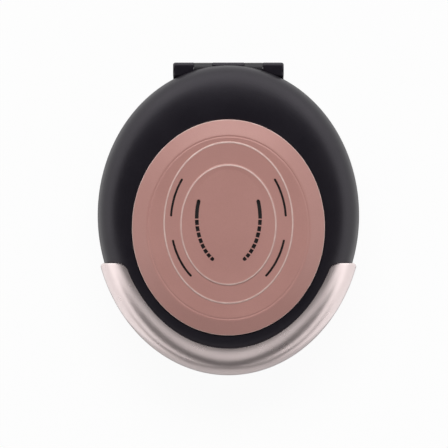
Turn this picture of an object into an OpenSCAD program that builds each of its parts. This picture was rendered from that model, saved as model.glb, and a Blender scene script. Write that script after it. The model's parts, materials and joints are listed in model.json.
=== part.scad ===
// Electric krumkake iron: two round engraved plates in oval shells that close on a rear hinge.
// The handle points to -Y, the hinge to +Y, and the feet stand on Z = 0.

/* [Shells] */
// Width of the lid and the base, seen from above
shell_w = 230; // [210:1:250]
// Depth of the lid and the base, without handle and hinge
shell_d = 263.8; // [245:0.2:285]
// How far the middle of the shells lies behind the origin
shell_y = 3.2; // [0:0.1:6]
// Wall of both plastic shells
shell_wall = 2.5; // [2:0.1:3.2]
// Thickness of the deck round each plate
deck_t = 2.5; // [2:0.1:3.2]
// How far the base tucks in towards its bottom edge
base_tuck = 15; // [8:0.5:18]

/* [Heights] */
// Height of the rubber feet below the bottom cover
foot_h = 7; // [5:0.5:12]
// Height of the base shell, from its bottom edge to its rim
base_h = 39.5; // [37:0.5:48]
// Straight part of the base wall below the rim
base_wall_h = 8.5; // [6:0.5:14]
// Gap between the two rims when the lid is shut
rim_gap = 1.2; // [1:0.1:2]
// Straight part of the lid wall above its rim
lid_wall_h = 9.5; // [8:0.5:12]
// Rise of the rounded lid shoulder above that wall
lid_dome_h = 27; // [25:0.5:34]
// How square the lid shoulder is, 2 is a plain round
dome_power = 2.6; // [2:0.1:3.4]

/* [Top panel] */
// Width of the oval panel let into the lid
panel_w = 169; // [164:0.5:174]
// Depth of the panel
panel_d = 189.2; // [184:0.2:196]
// Middle of the panel, measured from the origin
panel_y = -7.6; // [-9:0.1:-5]
// Thickness of the panel sheet
panel_t = 2; // [1.5:0.1:2.6]
// Depth of the seat that the panel lies in
seat_drop = 1.2; // [0.8:0.1:2]
// Width of the ledge that carries the panel
ledge_w = 8.5; // [7:0.5:11]
// Width of the crease in the panel
crease_w = 140.4; // [136:0.2:144]
// Depth of the crease
crease_d = 159.6; // [155:0.2:164]
// Middle of the crease, measured from the origin
crease_y = -7.8; // [-9:0.1:-6]
// Width of the raised rim line
rim_w = 116; // [112:0.2:120]
// Depth of the raised rim line
rim_d = 142.2; // [138:0.2:145]
// Middle of the raised rim line
rim_y = -4; // [-6:0.1:-3]
// Width of the inner oval step
step_w = 84.8; // [82:0.2:88]
// Depth of the inner oval step
step_d = 106.4; // [103:0.2:110]
// Middle of the inner oval step
step_y = -5.3; // [-6:0.1:-4]
// Width of the flat in the centre
flat_w = 67; // [64:0.2:70]
// Depth of the flat in the centre
flat_d = 90; // [86:0.2:92]
// Middle of the flat in the centre
flat_y = -2; // [-4:0.1:-1]
// Height of the outer band between panel edge and crease
band_rise = 4.6; // [3:0.1:6]
// Height of the rim step above the crease
rim_rise = 2.2; // [1:0.1:3]
// Height of the inner oval step
step_rise = 1.7; // [1:0.1:3]
// Height of the last small step round the centre flat
flat_rise = 0.4; // [0.2:0.1:1]

/* [Vents] */
// Width of the oval that the narrow slots follow
slot_path_w = 100.6; // [98:0.2:104]
// Depth of the oval that the narrow slots follow
slot_path_d = 125; // [121:0.2:129]
// Middle of the oval that the narrow slots follow
slot_path_y = -2.5; // [-4:0.1:-1]
// Width of a narrow slot
slot_w = 1.9; // [1.4:0.1:2.6]
// Angle where the slots behind the middle start
slot_rear_from = 5; // [3:0.5:8]
// Angle where the slots behind the middle end
slot_rear_to = 36; // [32:0.5:40]
// Angle where the slots in front of the middle start
slot_front_from = -49; // [-53:0.5:-45]
// Angle where the slots in front of the middle end
slot_front_to = -15.5; // [-19:0.5:-12]
// Width of the oval that the wide vents follow
vent_path_w = 55.4; // [54:0.2:58]
// Depth of the oval that the wide vents follow
vent_path_d = 84; // [81:0.2:86]
// Middle of the oval that the wide vents follow
vent_path_y = 1; // [0:0.1:2]
// Width of a wide vent
vent_w = 3.2; // [2.4:0.1:4]
// Angle where the wide vents start
vent_from = -59.5; // [-63:0.5:-55]
// Angle where the wide vents end
vent_to = 20; // [16:0.5:24]
// Number of ribs across each wide vent
vent_ribs = 9; // [5:1:13]
// Width of one rib
rib_w = 0.9; // [0.6:0.1:1.4]

/* [Handles] */
// How far the handles stand out of the shells at the sides
handle_side = 3.4; // [2.6:0.1:5]
// How far the handles stand out of the shells at the front
handle_front = 8.8; // [7:0.1:12]
// How far the upper handle reaches over the lid at the sides
handle_over_side = 14.8; // [12:0.1:18]
// How far the upper handle reaches over the lid at the front
handle_over_front = 15.1; // [12:0.1:18]
// How far the inner edge's oval is set back from the shell's middle
handle_back = 13.8; // [10:0.1:16]
// Where both handles end, measured from the origin
handle_end_y = -38.9; // [-60:0.1:-30]
// Corner radius of the upper handle's ends, on the inner side
handle_end_r = 13; // [9:0.5:16]
// Corner radius of the handle ends, on the outer side
handle_tip_r = 3; // [1:0.5:5]
// Height of the upper handle's top above the lid's flat band
handle_top = 2; // [1.4:0.1:4]
// Straight outer face of each handle
handle_face_h = 10; // [6:0.5:14]
// Gap between the two handles when the lid is shut
handle_gap = 4; // [3.6:0.1:4]
// Height of the lower handle
handle_low_h = 25; // [18:0.5:28]

/* [Plates] */
// Radius of the round cooking plates
plate_r = 85; // [78:0.5:87]
// Middle of the plates, measured from the origin
plate_y = -4; // [-8:0.5:0]
// Thickness of a plate
plate_t = 8; // [6:0.5:10]
// How far a plate's lip stands out of its deck
plate_proud = 0.4; // [0.2:0.05:0.45]
// How deep the baking face lies below its lip
face_drop = 0.8; // [0.4:0.1:1.2]
// Width of an engraved line
line_w = 1.3; // [0.8:0.1:2]
// Depth of an engraved line
line_d = 0.8; // [0.4:0.1:1.5]
// Number of petals in the rosette
petals = 8; // [6:1:12]
// Number of scallops in the border
scallops = 16; // [12:1:20]
// Radius of the heating element's tube
tube_r = 3.2; // [2.6:0.1:4]
// Radius of the heating element's ring
tube_ring_r = 58; // [50:1:64]
// Sheet of the heat shields
shield_t = 0.8; // [0.6:0.1:1.2]
// Depth of a heat shield pan
shield_h = 20; // [20:0.5:24]
// Width of the flange round a heat shield
flange_w = 8; // [7.5:0.5:9]

/* [Hinge] */
// Width of the hinge block
block_w = 97.2; // [84:0.2:104]
// Radius of the hinge barrels
barrel_r = 6.5; // [5.5:0.1:7]
// Radius of the hinge pin
pin_r = 2.5; // [2:0.1:3]
// Running clearance of the lid's barrels on the pin
pin_play = 0.05; // [0.02:0.01:0.1]
// Height of the hinge line above the base rim
hinge_rise = 3.5; // [3.2:0.1:4]
// How far the hinge line lies inside the rear edge of the shells
hinge_inset = 4.1; // [3.6:0.1:4.6]
// Half width of the middle barrel
barrel_mid = 13.8; // [10:0.2:16]
// Width of each lid barrel
barrel_lid = 16; // [12:0.5:18]
// Side play between neighbouring barrels
barrel_gap = 0.4; // [0.3:0.1:0.6]
// Wall of the hollow hinge block
block_wall = 3; // [2.4:0.1:4]
// Corner radius of the block, seen from above
block_r = 2.6; // [1:0.1:4]
// Radius of the block's lower rear edge
block_foot_r = 5; // [2:0.5:7]

/* [Cord entry] */
// Radius of the cord hole in the gland
cord_r = 3.6; // [3:0.1:4.2]
// Height of the cord hole above the table
cord_z = 24; // [22:0.5:28]
// Length of the gland
gland_len = 14; // [10:0.5:18]
// Width of the terminal block
terminal_w = 36; // [30:1:44]
// Depth of the terminal block
terminal_d = 16; // [12:1:20]
// Height of the terminal block
terminal_h = 12; // [10:0.5:13]

/* [Fasteners and feet] */
// Radius of a screw's shank
screw_r = 1.5; // [1.2:0.1:1.8]
// Radius of a screw's head
head_r = 3; // [2.6:0.1:3.4]
// Height of a screw's head
head_h = 1.5; // [1.2:0.1:1.8]
// Length of the case screws
case_screw_l = 12; // [10:0.5:14]
// Radius of the screw posts
post_r = 4; // [3.6:0.1:4.4]
// Radius of a rubber foot
foot_r = 8; // [6:0.5:9]
// Distance between the feet, side to side
foot_span_x = 100; // [84:1:110]
// Distance between the feet, front to back
foot_span_y = 172; // [150:1:180]
// Clearance between parts that are fitted together
fit = 0.2; // [0.1:0.05:0.3]

/* [Hidden] */

// Sides of every oval
ring_steps = 72;
$fn = 64;

plastic_black = [0.12, 0.11, 0.13];
rose_metal = [0.73, 0.55, 0.52];
silver_rose = [0.78, 0.72, 0.72];
cast_grey = [0.32, 0.32, 0.34];
steel = [0.7, 0.7, 0.72];
rubber_black = [0.08, 0.08, 0.08];
ceramic_white = [0.9, 0.88, 0.84];

// Heights, from the table up
base_low = foot_h;
base_turn = foot_h + base_h - base_wall_h;
base_rim = foot_h + base_h;
lid_rim = base_rim + rim_gap;
lid_turn = lid_rim + lid_wall_h;
lid_flat = lid_turn + lid_dome_h;
seat_z = lid_flat - seat_drop;
cover_top = base_low + shell_wall;
mirror_z = base_rim + lid_rim;

// Ovals as half width, half depth and middle
shell = [shell_w / 2, shell_d / 2, shell_y];
shell_front_y = shell_y - shell_d / 2;
shell_rear_y = shell_y + shell_d / 2;
base_foot = shell - [base_tuck, base_tuck, 0];
panel = [panel_w / 2, panel_d / 2, panel_y];
seat = panel + [2.5 * fit, 2.5 * fit, 0];
ledge = seat - [ledge_w, ledge_w, 0];
crease = half([crease_w, crease_d, crease_y]);
rim_line = half([rim_w, rim_d, rim_y]);
inner_step = half([step_w, step_d, step_y]);
centre_flat = half([flat_w, flat_d, flat_y]);
slot_path = half([slot_path_w, slot_path_d, slot_path_y]);
vent_path = half([vent_path_w, vent_path_d, vent_path_y]);
slot_rear = [slot_rear_from, slot_rear_to];
slot_front = [slot_front_from, slot_front_to];
vent_span = [vent_from, vent_to];
bezel = shell - [shell_wall + fit, shell_wall + fit, 0];

handle_shift = 1.3;
handle_out = [
  shell_w / 2 + handle_side,
  shell_d / 2 + handle_front - handle_shift,
  shell_y - handle_shift
];
handle_in = [
  shell_w / 2 - handle_over_side,
  shell_d / 2 - handle_over_front + handle_back,
  shell_y + handle_back
];
handle_mid = (base_rim + lid_rim) / 2;
handle_turn = handle_mid + handle_gap / 2 + handle_face_h;

// Plates, shields and what holds them
plate_top = base_rim + plate_proud;
plate_under = plate_top - plate_t;
deck_under = base_rim - deck_t;
deck_hole_r = plate_r + 1.5;
shield_r = plate_r + 3;
flange_r = shield_r + flange_w;
shield_low = deck_under - shield_h;
post_ring_r = flange_r + post_r + 1;
rear_post_angle = 50;
front_post_angle = 290;
plate_post_r = 38;
shield_screw_r = shield_r + shield_t + head_r + fit;

// Hinge
hinge_y = shell_rear_y - hinge_inset;
hinge_z = base_rim + hinge_rise;
block_rear = hinge_y + barrel_r;
block_low = cover_top + 2 * fit;
block_front = hinge_y - 29;
block_step = hinge_y - 17;
barrel_clear = barrel_r + 0.7;
notch_front = hinge_y - barrel_r - 1.7;
notch_top = hinge_z + barrel_r + 1.9;
lid_barrel_x = barrel_mid + barrel_gap;
end_barrel_x = lid_barrel_x + barrel_lid + barrel_gap;
cap_depth = 2;
bracket_t = 3;
bracket_low = lid_rim + deck_t + fit;
bracket_x = [-36, -10, 10, 36];
bracket_screw_y = hinge_y - 20;
cover_screw_y = hinge_y - 23;
cover_screw_x = 25;
clamp_y = hinge_y - 15;

handle_screw_angles = [218, 254, 286, 322];
handle_screw_len = shell_wall + 4;
pilot_r = screw_r + 0.1;
clear_r = screw_r + 0.3;
low_cut = 1;

function half(oval) = [oval[0] / 2, oval[1] / 2, oval[2]];
function grow(oval, by) = [oval[0] + by, oval[1] + by, oval[2]];
function blend(p, q, t) = p + (q - p) * t;
function at(oval, z) = [oval[0], oval[1], oval[2], z];
function dome(t) = sqrt(1 - pow(1 - t, dome_power));
function lid_at(t, g = 0) = at(grow(blend(shell, seat, t), g), lid_turn + lid_dome_h * dome(t) + g);
function lid_in_h() = lid_dome_h - seat_drop - shell_wall;
function lid_inside(t) = at(blend(grow(shell, -shell_wall), ledge, t), lid_turn + lid_in_h() * dome(t));
function handle_at(t) = at(blend(handle_out, panel, t),
  handle_turn + (lid_flat + handle_top - handle_turn) * dome(t));
function base_at(s, g = 0) = at(grow(base_foot, g + base_tuck * (1 - (1 - cos(s)) / (1 - cos(60)))),
  base_turn - (base_turn - base_low) * sin(s) / sin(60));
function base_inside(s) = base_at(s, -shell_wall) + [0, 0, 0, shell_wall * s / 60];
function ring_points(ring) = [
  for (i = [0 : ring_steps - 1])
    [ring[0] * cos(i * 360 / ring_steps), ring[2] + ring[1] * sin(i * 360 / ring_steps), ring[3]]
];
function oval_x(oval, y) = oval[0] * sqrt(max(0, 1 - pow((y - oval[2]) / oval[1], 2)));
function spread(list) = [for (part = list) each part];

// Wall or solid between rings that run up the outside; looped joins the last ring to the first
module ring_loft(rings, looped = false) {
  n = ring_steps;
  count = len(rings);
  last = looped ? count - 1 : count - 2;
  sides = spread([
    for (j = [0 : last])
      for (i = [0 : n - 1])
        let (k = (i + 1) % n, q = (j + 1) % count)
          [[j * n + i, q * n + k, j * n + k], [j * n + i, q * n + i, q * n + k]]
  ]);
  bottom = [for (i = [0 : n - 1]) i];
  top = [for (i = [n - 1 : -1 : 0]) (count - 1) * n + i];
  polyhedron(spread([for (r = rings) ring_points(r)]), looped ? sides : concat(sides, [bottom, top]));
}

module oval_2d(oval) {
  polygon([for (p = ring_points(at(oval, 0))) [p[0], p[1]]]);
}

module oval_plate(oval, z, h) {
  translate([0, 0, z])
    linear_extrude(h)
      oval_2d(oval);
}

module box(low, high) {
  translate(low)
    cube(high - low);
}

// Slot of even width along an oval, with round ends, on both sides of the object
module arc_slots(oval, w, span, z, h) {
  steps = 12;
  caps = 6;
  mid = [for (i = [0 : steps]) span[0] + (span[1] - span[0]) * i / steps];
  outline = concat(
    [for (f = mid) slot_point(oval, f, w / 2)],
    [for (i = [1 : caps - 1]) slot_cap(oval, span[1], w / 2, i * 180 / caps)],
    [for (i = [steps : -1 : 0]) slot_point(oval, mid[i], -w / 2)],
    [for (i = [1 : caps - 1]) slot_cap(oval, span[0], w / 2, 180 + i * 180 / caps)]
  );
  for (side = [0, 1])
    mirror([side, 0, 0])
      translate([0, 0, z])
        linear_extrude(h)
          polygon(outline);
}

function slot_point(oval, f, off) = let (
  n = [oval[1] * cos(f), oval[0] * sin(f)],
  u = n / norm(n)
) [oval[0] * cos(f) + off * u[0], oval[2] + oval[1] * sin(f) + off * u[1]];

// Point of a slot's round end; turn counts from the outward side
function slot_cap(oval, f, r, turn) = let (
  n = [oval[1] * cos(f), oval[0] * sin(f)],
  u = n / norm(n)
) [
  oval[0] * cos(f) + r * (u[0] * cos(turn) - u[1] * sin(turn)),
  oval[2] + oval[1] * sin(f) + r * (u[1] * cos(turn) + u[0] * sin(turn))
];

// Screw that points up, with the underside of its head at z = 0
module screw(length) {
  translate([0, 0, -head_h])
    cylinder(r = head_r, h = head_h);
  cylinder(r = screw_r, h = length);
}

module at_each(spots) {
  for (p = spots)
    translate(p)
      children();
}

function ring_spots(r, angles, z) = [for (f = angles) [r * cos(f), plate_y + r * sin(f), z]];
post_angles = [rear_post_angle, 180 - rear_post_angle, 540 - front_post_angle, front_post_angle];
function post_spots(z) = ring_spots(post_ring_r, post_angles, z);
function plate_post_spots(z) = ring_spots(plate_post_r, [45, 135, 225, 315], z);
function shield_spots(z) = ring_spots(shield_screw_r, [0, 90, 180, 270], z);
function foot_spots(z) = [
  for (sx = [-1, 1])
    for (sy = [-1, 1])
      [sx * foot_span_x / 2, shell_y + sy * foot_span_y / 2, z]
];
function cover_screw_spots(z) = [[-cover_screw_x, cover_screw_y, z], [cover_screw_x, cover_screw_y, z]];

// Places its children on the shell's outline, with +Z pointing straight out of the wall
module on_wall(f, z) {
  translate([shell[0] * cos(f), shell[2] + shell[1] * sin(f), z])
    rotate([0, 90, atan2(shell[0] * sin(f), shell[1] * cos(f))])
      children();
}

module handle_screws(z) {
  for (f = handle_screw_angles)
    on_wall(f, z)
      translate([0, 0, -shell_wall - fit])
        screw(handle_screw_len);
}

module handle_screw_holes(z, r) {
  for (f = handle_screw_angles)
    on_wall(f, z)
      translate([0, 0, -2 * shell_wall])
        cylinder(r = r, h = 2 * shell_wall + 4.5);
}

lower_screw_z = deck_under - head_r - 1;
upper_screw_z = bracket_low + head_r + 1;

// Turns a part of the base over, to its place in the lid
module upside_down() {
  translate([0, 0, mirror_z])
    mirror([0, 0, 1])
      children();
}

// Solid outlines of both shells, used to seat the handles
module lid_envelope(g) {
  ring_loft(concat(
    [at(grow(shell, g), lid_rim - 20), at(grow(shell, g), lid_turn)],
    [for (t = lid_ts) lid_at(t, g)]
  ));
}

module base_envelope(g) {
  ring_loft(concat(
    [for (s = base_ss) base_at(s, g)],
    [at(grow(shell, g), base_rim + 10)]
  ));
}

lid_ts = [0.03, 0.08, 0.15, 0.24, 0.35, 0.48, 0.63, 0.8, 1];
base_ss = [60, 50, 40, 28, 15, 0];

// Notches in the shells where the hinge works
module lid_notch() {
  w = block_w / 2 + 0.7;
  box([-w, notch_front, lid_rim - low_cut], [w, block_rear + 10, notch_top]);
}

module base_notch() {
  w = block_w / 2 + fit;
  box([-w, block_front - fit, 0], [w, block_rear + 10, deck_under + fit / 2]);
  box([-w, block_step - fit, 0], [w, block_rear + 10, hinge_z + 2 * barrel_r]);
}

module base_shell() {
  soft = 0.8;
  color(plastic_black)
    difference() {
      union() {
        ring_loft(concat(
          [for (s = base_ss) base_at(s)],
          [
            at(shell, base_rim - soft),
            at(grow(shell, -soft), base_rim),
            [deck_hole_r, deck_hole_r, plate_y, base_rim],
            [deck_hole_r, deck_hole_r, plate_y, deck_under],
            at(grow(shell, -shell_wall), deck_under)
          ],
          [for (i = [len(base_ss) - 1 : -1 : 0]) base_inside(base_ss[i])],
          [at(grow(base_foot, -shell_wall), base_low)]
        ), true);
        at_each(post_spots(cover_top + fit))
          cylinder(r = post_r, h = deck_under - cover_top);
      }
      base_notch();
      at_each(post_spots(cover_top - 1))
        cylinder(r = pilot_r, h = 15);
      at_each(shield_spots(deck_under - 1))
        cylinder(r = pilot_r, h = deck_t);
      handle_screw_holes(lower_screw_z, clear_r);
    }
}

module bottom_cover() {
  slots = 7;
  slot_len = 60;
  slot_gap = 3;
  slot_pitch = 9;
  color(plastic_black)
    difference() {
      oval_plate(grow(base_foot, -shell_wall - fit), base_low, shell_wall);
      at_each(concat(post_spots(0), cover_screw_spots(0)))
        cylinder(r = clear_r, h = cover_top + 5);
      at_each(foot_spots(0))
        cylinder(r = foot_r / 2 - 0.9, h = cover_top + 5);
      for (i = [0 : slots - 1])
        translate([-slot_len / 2, plate_y - slot_pitch * (i + 1), base_low - low_cut])
          cube([slot_len, slot_gap, shell_wall + 2 * low_cut]);
    }
}

module rubber_feet() {
  stem_r = foot_r / 2 - 1;
  barb_r = foot_r / 2 + 0.2;
  barb_h = 1.5;
  color(rubber_black)
    at_each(foot_spots(0))
      rotate_extrude()
        polygon([
          [0, 0], [foot_r - 1.5, 0], [foot_r - 0.5, 1], [foot_r, base_low],
          [stem_r, base_low], [stem_r, cover_top + fit], [barb_r, cover_top + fit],
          [stem_r, cover_top + fit + barb_h], [0, cover_top + fit + barb_h]
        ]);
}

module bottom_screws() {
  color(steel)
    at_each(concat(post_spots(base_low), cover_screw_spots(base_low)))
      screw(case_screw_l);
}

// One barrel of the hinge, on the hinge line, from x0 to x1
module barrel(x0, x1) {
  translate([x0, hinge_y, hinge_z])
    rotate([0, 90, 0])
      cylinder(r = barrel_r, h = x1 - x0);
}

// Barrel with the web that carries it on the block
module block_barrel(x0, x1) {
  barrel(x0, x1);
  box([x0, hinge_y - barrel_r, hinge_z - barrel_clear - 1], [x1, block_rear, hinge_z]);
}

module hinge_block() {
  w = block_w / 2;
  top = hinge_z - barrel_clear;
  saddle_x = 12;
  saddle_y = 4;
  color(plastic_black)
    difference() {
      union() {
        difference() {
          union() {
            box([-w, block_front, block_low], [w, block_rear, top]);
            box([-w, block_step, top - 1], [w, hinge_y - barrel_clear - 0.4, base_rim]);
            block_barrel(-w, -end_barrel_x);
            block_barrel(-barrel_mid, barrel_mid);
            block_barrel(end_barrel_x, w);
          }
          box(
            [block_wall - w, block_front - 1, block_low + block_wall],
            [w - block_wall, block_rear - block_wall, top - block_wall]
          );
        }
        at_each(cover_screw_spots(block_low + block_wall - 0.5))
          cylinder(r = post_r, h = 10);
        box(
          [-saddle_x, clamp_y - saddle_y, block_low + block_wall - 0.5],
          [saddle_x, clamp_y + saddle_y, cord_z + cord_r - 0.3]
        );
      }
      at_each(cover_screw_spots(0))
        cylinder(r = pilot_r, h = 22);
      translate([0, block_front, cord_z])
        rotate([-90, 0, 0])
          cylinder(r = cord_r, h = 28);
      translate([0, hinge_y - 1, cord_z])
        rotate([-90, 0, 0])
          cylinder(r = cord_r + 2.6, h = barrel_r + 2);
      translate([0, block_rear - 1.4, cord_z])
        rotate([-90, 0, 0])
          cylinder(r = cord_r + 4.7, h = 2);
      for (x = [-9, 9])
        translate([x, clamp_y, cord_z])
          cylinder(r = pilot_r, h = 12, center = true);
      translate([-w - 1, hinge_y, hinge_z])
        rotate([0, 90, 0])
          cylinder(r = pin_r + pin_play, h = 2 * w + 2);
      for (x = [-w - 1, w - cap_depth])
        translate([x, hinge_y, hinge_z])
          rotate([0, 90, 0])
            cylinder(r = barrel_r - 2.5, h = cap_depth + 1);
      for (side = [0, 1])
        mirror([side, 0, 0])
          translate([w - block_r, block_rear - block_r, 0])
            difference() {
              cube([block_r + 1, block_r + 1, hinge_z + barrel_r + 1]);
              cylinder(r = block_r, h = hinge_z + barrel_r + 1);
            }
      translate([-w - 1, block_rear - block_foot_r, block_low + block_foot_r])
        rotate([0, 90, 0])
          difference() {
            cube([block_foot_r + 1, block_foot_r + 1, 2 * w + 2]);
            cylinder(r = block_foot_r, h = 2 * w + 2);
          }
    }
}

module hinge_pin() {
  w = block_w / 2 - cap_depth - fit;
  color(steel)
    translate([-w, hinge_y, hinge_z])
      rotate([0, 90, 0])
        cylinder(r = pin_r, h = 2 * w);
}

module hinge_caps() {
  w = block_w / 2;
  color(plastic_black)
    for (x = [-w + 0.6, w - cap_depth + fit])
      translate([x, hinge_y, hinge_z])
        rotate([0, 90, 0])
          cylinder(r = barrel_r - 2.6, h = cap_depth - 0.6 - fit);
}

// Plan of the handles: everything in front of their ends, with round corners
module handle_plan(inner_edge) {
  tip_y = handle_end_y - handle_tip_r;
  tip_x = oval_x(handle_out, tip_y) - handle_tip_r * 1.04;
  corner_y = handle_end_y - handle_end_r;
  corner_x = oval_x(handle_in, corner_y) + handle_end_r * 1.03;
  difference() {
    translate([-handle_out[0] - 5, handle_end_y - shell_d])
      square([2 * handle_out[0] + 10, shell_d]);
    for (side = [0, 1])
      mirror([side, 0, 0])
        translate([tip_x, tip_y])
          difference() {
            square([20, 20]);
            circle(r = handle_tip_r);
          }
    if (inner_edge) {
      oval_2d(handle_in);
      for (side = [0, 1])
        mirror([side, 0, 0])
          translate([corner_x, corner_y])
            difference() {
              translate([-30, 0])
                square([30, 30]);
              circle(r = handle_end_r);
            }
    }
  }
}

module upper_handle() {
  low = handle_mid + handle_gap / 2;
  color(silver_rose)
    difference() {
      intersection() {
        ring_loft(concat(
          [at(grow(handle_out, -1), low), at(handle_out, low + 1), at(handle_out, handle_turn)],
          [for (t = [0.02, 0.06, 0.12, 0.2, 0.3, 0.42, 0.56, 0.72, 0.9]) handle_at(t)]
        ));
        translate([0, 0, lid_rim - 10])
          linear_extrude(lid_dome_h + 40)
            handle_plan(true);
      }
      lid_envelope(fit);
      handle_screw_holes(upper_screw_z, pilot_r);
    }
}

module lower_handle() {
  high = handle_mid - handle_gap / 2;
  turn = high - handle_face_h;
  low = high - handle_low_h;
  under = grow(shell, -3);
  color(silver_rose)
    difference() {
      intersection() {
        ring_loft(concat(
          [
            for (s = [0 : 15 : 75])
              at(blend(under, handle_out, sin(s)), blend(turn, low, cos(s)))
          ],
          [at(handle_out, turn), at(handle_out, high - 1), at(grow(handle_out, -1), high)]
        ));
        linear_extrude(base_rim + 10)
          handle_plan(false);
      }
      base_envelope(fit);
      handle_screw_holes(lower_screw_z, pilot_r);
    }
}

module lower_handle_screws() {
  color(steel)
    handle_screws(lower_screw_z);
}

module upper_handle_screws() {
  color(steel)
    handle_screws(upper_screw_z);
}

// Thin ring that cuts one engraved line
module line_ring(r) {
  difference() {
    cylinder(r = r + line_w / 2, h = line_d + 1);
    cylinder(r = r - line_w / 2, h = line_d + 1);
  }
}

// Traditional rosette: petals round the middle, a ring, and scallops inside the border
module rosette() {
  petal_r = plate_r * 0.29;
  ring_r = plate_r * 0.64;
  scallop_r = plate_r * 0.115;
  scallop_ring = plate_r * 0.785;
  line_ring(ring_r);
  line_ring(plate_r * 0.93);
  line_ring(plate_r * 0.1);
  for (i = [0 : petals - 1])
    rotate([0, 0, i * 360 / petals])
      translate([petal_r, 0, 0])
        line_ring(petal_r);
  for (i = [0 : scallops - 1])
    rotate([0, 0, (i + 0.5) * 360 / scallops])
      translate([scallop_ring, 0, 0])
        line_ring(scallop_r);
}

module plate_shape() {
  lip_w = 2;
  face = plate_top - face_drop;
  difference() {
    union() {
      translate([0, plate_y, 0])
        rotate_extrude($fn = 120)
          polygon([
            [0, plate_under], [plate_r - lip_w, plate_under], [plate_r, plate_under + lip_w],
            [plate_r, plate_top], [plate_r - lip_w, plate_top], [plate_r - lip_w - face_drop, face],
            [0, face]
          ]);
      at_each(plate_post_spots(shield_low + shield_t))
        cylinder(r = post_r, h = plate_under - shield_low - shield_t + 1);
    }
    translate([0, plate_y, face - line_d])
      rosette();
    at_each(plate_post_spots(shield_low))
      cylinder(r = pilot_r, h = 12);
  }
}

module element_shape() {
  open_angle = 40;
  start = 90 + open_angle / 2;
  tube_z = plate_under - tube_r - 0.1;
  pin_low = shield_low - 7;
  translate([0, plate_y, tube_z])
    rotate([0, 0, start])
      rotate_extrude(angle = 360 - open_angle)
        translate([tube_ring_r, 0])
          circle(r = tube_r, $fn = 32);
  at_each(ring_spots(tube_ring_r, element_ends, pin_low))
    cylinder(r = tube_r - 0.8, h = tube_z - pin_low);
}

element_ends = [66, 114];

module shield_shape() {
  zb = shield_low;
  zt = deck_under;
  difference() {
    translate([0, plate_y, 0])
      rotate_extrude($fn = 120)
        polygon([
          [0, zb], [shield_r + shield_t, zb], [shield_r + shield_t, zt - shield_t],
          [flange_r, zt - shield_t], [flange_r, zt], [shield_r, zt], [shield_r, zb + shield_t],
          [0, zb + shield_t]
        ]);
    at_each(concat(plate_post_spots(zb - 1), shield_spots(zt - 2)))
      cylinder(r = clear_r, h = 3);
    at_each(ring_spots(tube_ring_r, element_ends, zb - 1))
      cylinder(r = tube_r, h = 3);
  }
}

module plate_screws_shape() {
  at_each(plate_post_spots(shield_low))
    screw(10);
}

module shield_screws_shape() {
  at_each(shield_spots(deck_under - shield_t))
    screw(shield_t + deck_t - 1.2);
}

module lower_plate() {
  color(cast_grey)
    plate_shape();
}

module lower_plate_screws() {
  color(steel)
    plate_screws_shape();
}

module lower_element() {
  color(steel)
    element_shape();
}

module lower_heat_shield() {
  color(steel)
    shield_shape();
}

module lower_shield_screws() {
  color(steel)
    shield_screws_shape();
}

module upper_plate() {
  color(cast_grey)
    upside_down()
      plate_shape();
}

module upper_plate_screws() {
  color(steel)
    upside_down()
      plate_screws_shape();
}

module upper_element() {
  color(steel)
    upside_down()
      element_shape();
}

module upper_heat_shield() {
  color(steel)
    upside_down()
      shield_shape();
}

module upper_shield_screws() {
  color(steel)
    upside_down()
      shield_screws_shape();
}

// Snap-disc thermostat that stands on the shield and touches the plate
module thermostat() {
  body_r = 8;
  ear = 12;
  low = shield_low + shield_t;
  color(ceramic_white)
    union() {
      translate([0, plate_y, low])
        cylinder(r = body_r, h = plate_under - low - 0.1);
      box([-ear, plate_y - 4, low], [ear, plate_y + 4, low + 1.2]);
    }
}

// Thermal fuse in its sleeve, lying on the shield
module thermal_fuse() {
  sleeve_r = 2.2;
  sleeve_len = 14;
  lead_len = 7;
  low = shield_low + shield_t;
  color(ceramic_white)
    translate([0, plate_y - 24, low + sleeve_r + 0.1])
      rotate([0, 90, 0])
        union() {
          cylinder(r = sleeve_r, h = sleeve_len, center = true);
          cylinder(r = 0.6, h = sleeve_len + 2 * lead_len, center = true);
        }
}

// Terminal block on the bottom cover, with one screw well for each wire
module terminal_block() {
  size = [terminal_w, terminal_d, terminal_h];
  wells = 3;
  well_pitch = 11;
  color(ceramic_white)
    translate([0, plate_y + 64, cover_top])
      difference() {
        translate([-size[0] / 2, -size[1] / 2, 0])
          cube(size);
        for (i = [-1 : wells - 2])
          translate([i * well_pitch, 0, 4])
            cylinder(r = 3, h = size[2]);
        for (i = [-1 : wells - 2])
          translate([i * well_pitch, -size[1], 3])
            rotate([-90, 0, 0])
              cylinder(r = 1.8, h = 2 * size[1]);
      }
}

// Gland for the cord, let into the rear face so that the iron can stand on it
module cord_gland() {
  lip_t = 1.2;
  lip_r = cord_r + 4.5;
  body_r = cord_r + 2.4;
  color(rubber_black)
    translate([0, block_rear - fit, cord_z])
      rotate([90, 0, 0])
        rotate_extrude()
          polygon([
            [cord_r, 0], [lip_r, 0], [lip_r, lip_t], [body_r, lip_t], [body_r, block_wall + fit],
            [body_r - 0.4, gland_len], [cord_r, gland_len]
          ]);
}

module cord_clamp() {
  low = cord_z + cord_r - 0.3;
  color(plastic_black)
    difference() {
      box([-12, clamp_y - 4, low], [12, clamp_y + 4, low + 3]);
      for (x = [-9, 9])
        translate([x, clamp_y, low - 1])
          cylinder(r = clear_r, h = 5);
    }
}

module cord_clamp_screws() {
  low = cord_z + cord_r - 0.3;
  color(steel)
    for (x = [-9, 9])
      translate([x, clamp_y, low + 3])
        mirror([0, 0, 1])
          screw(8);
}

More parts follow.
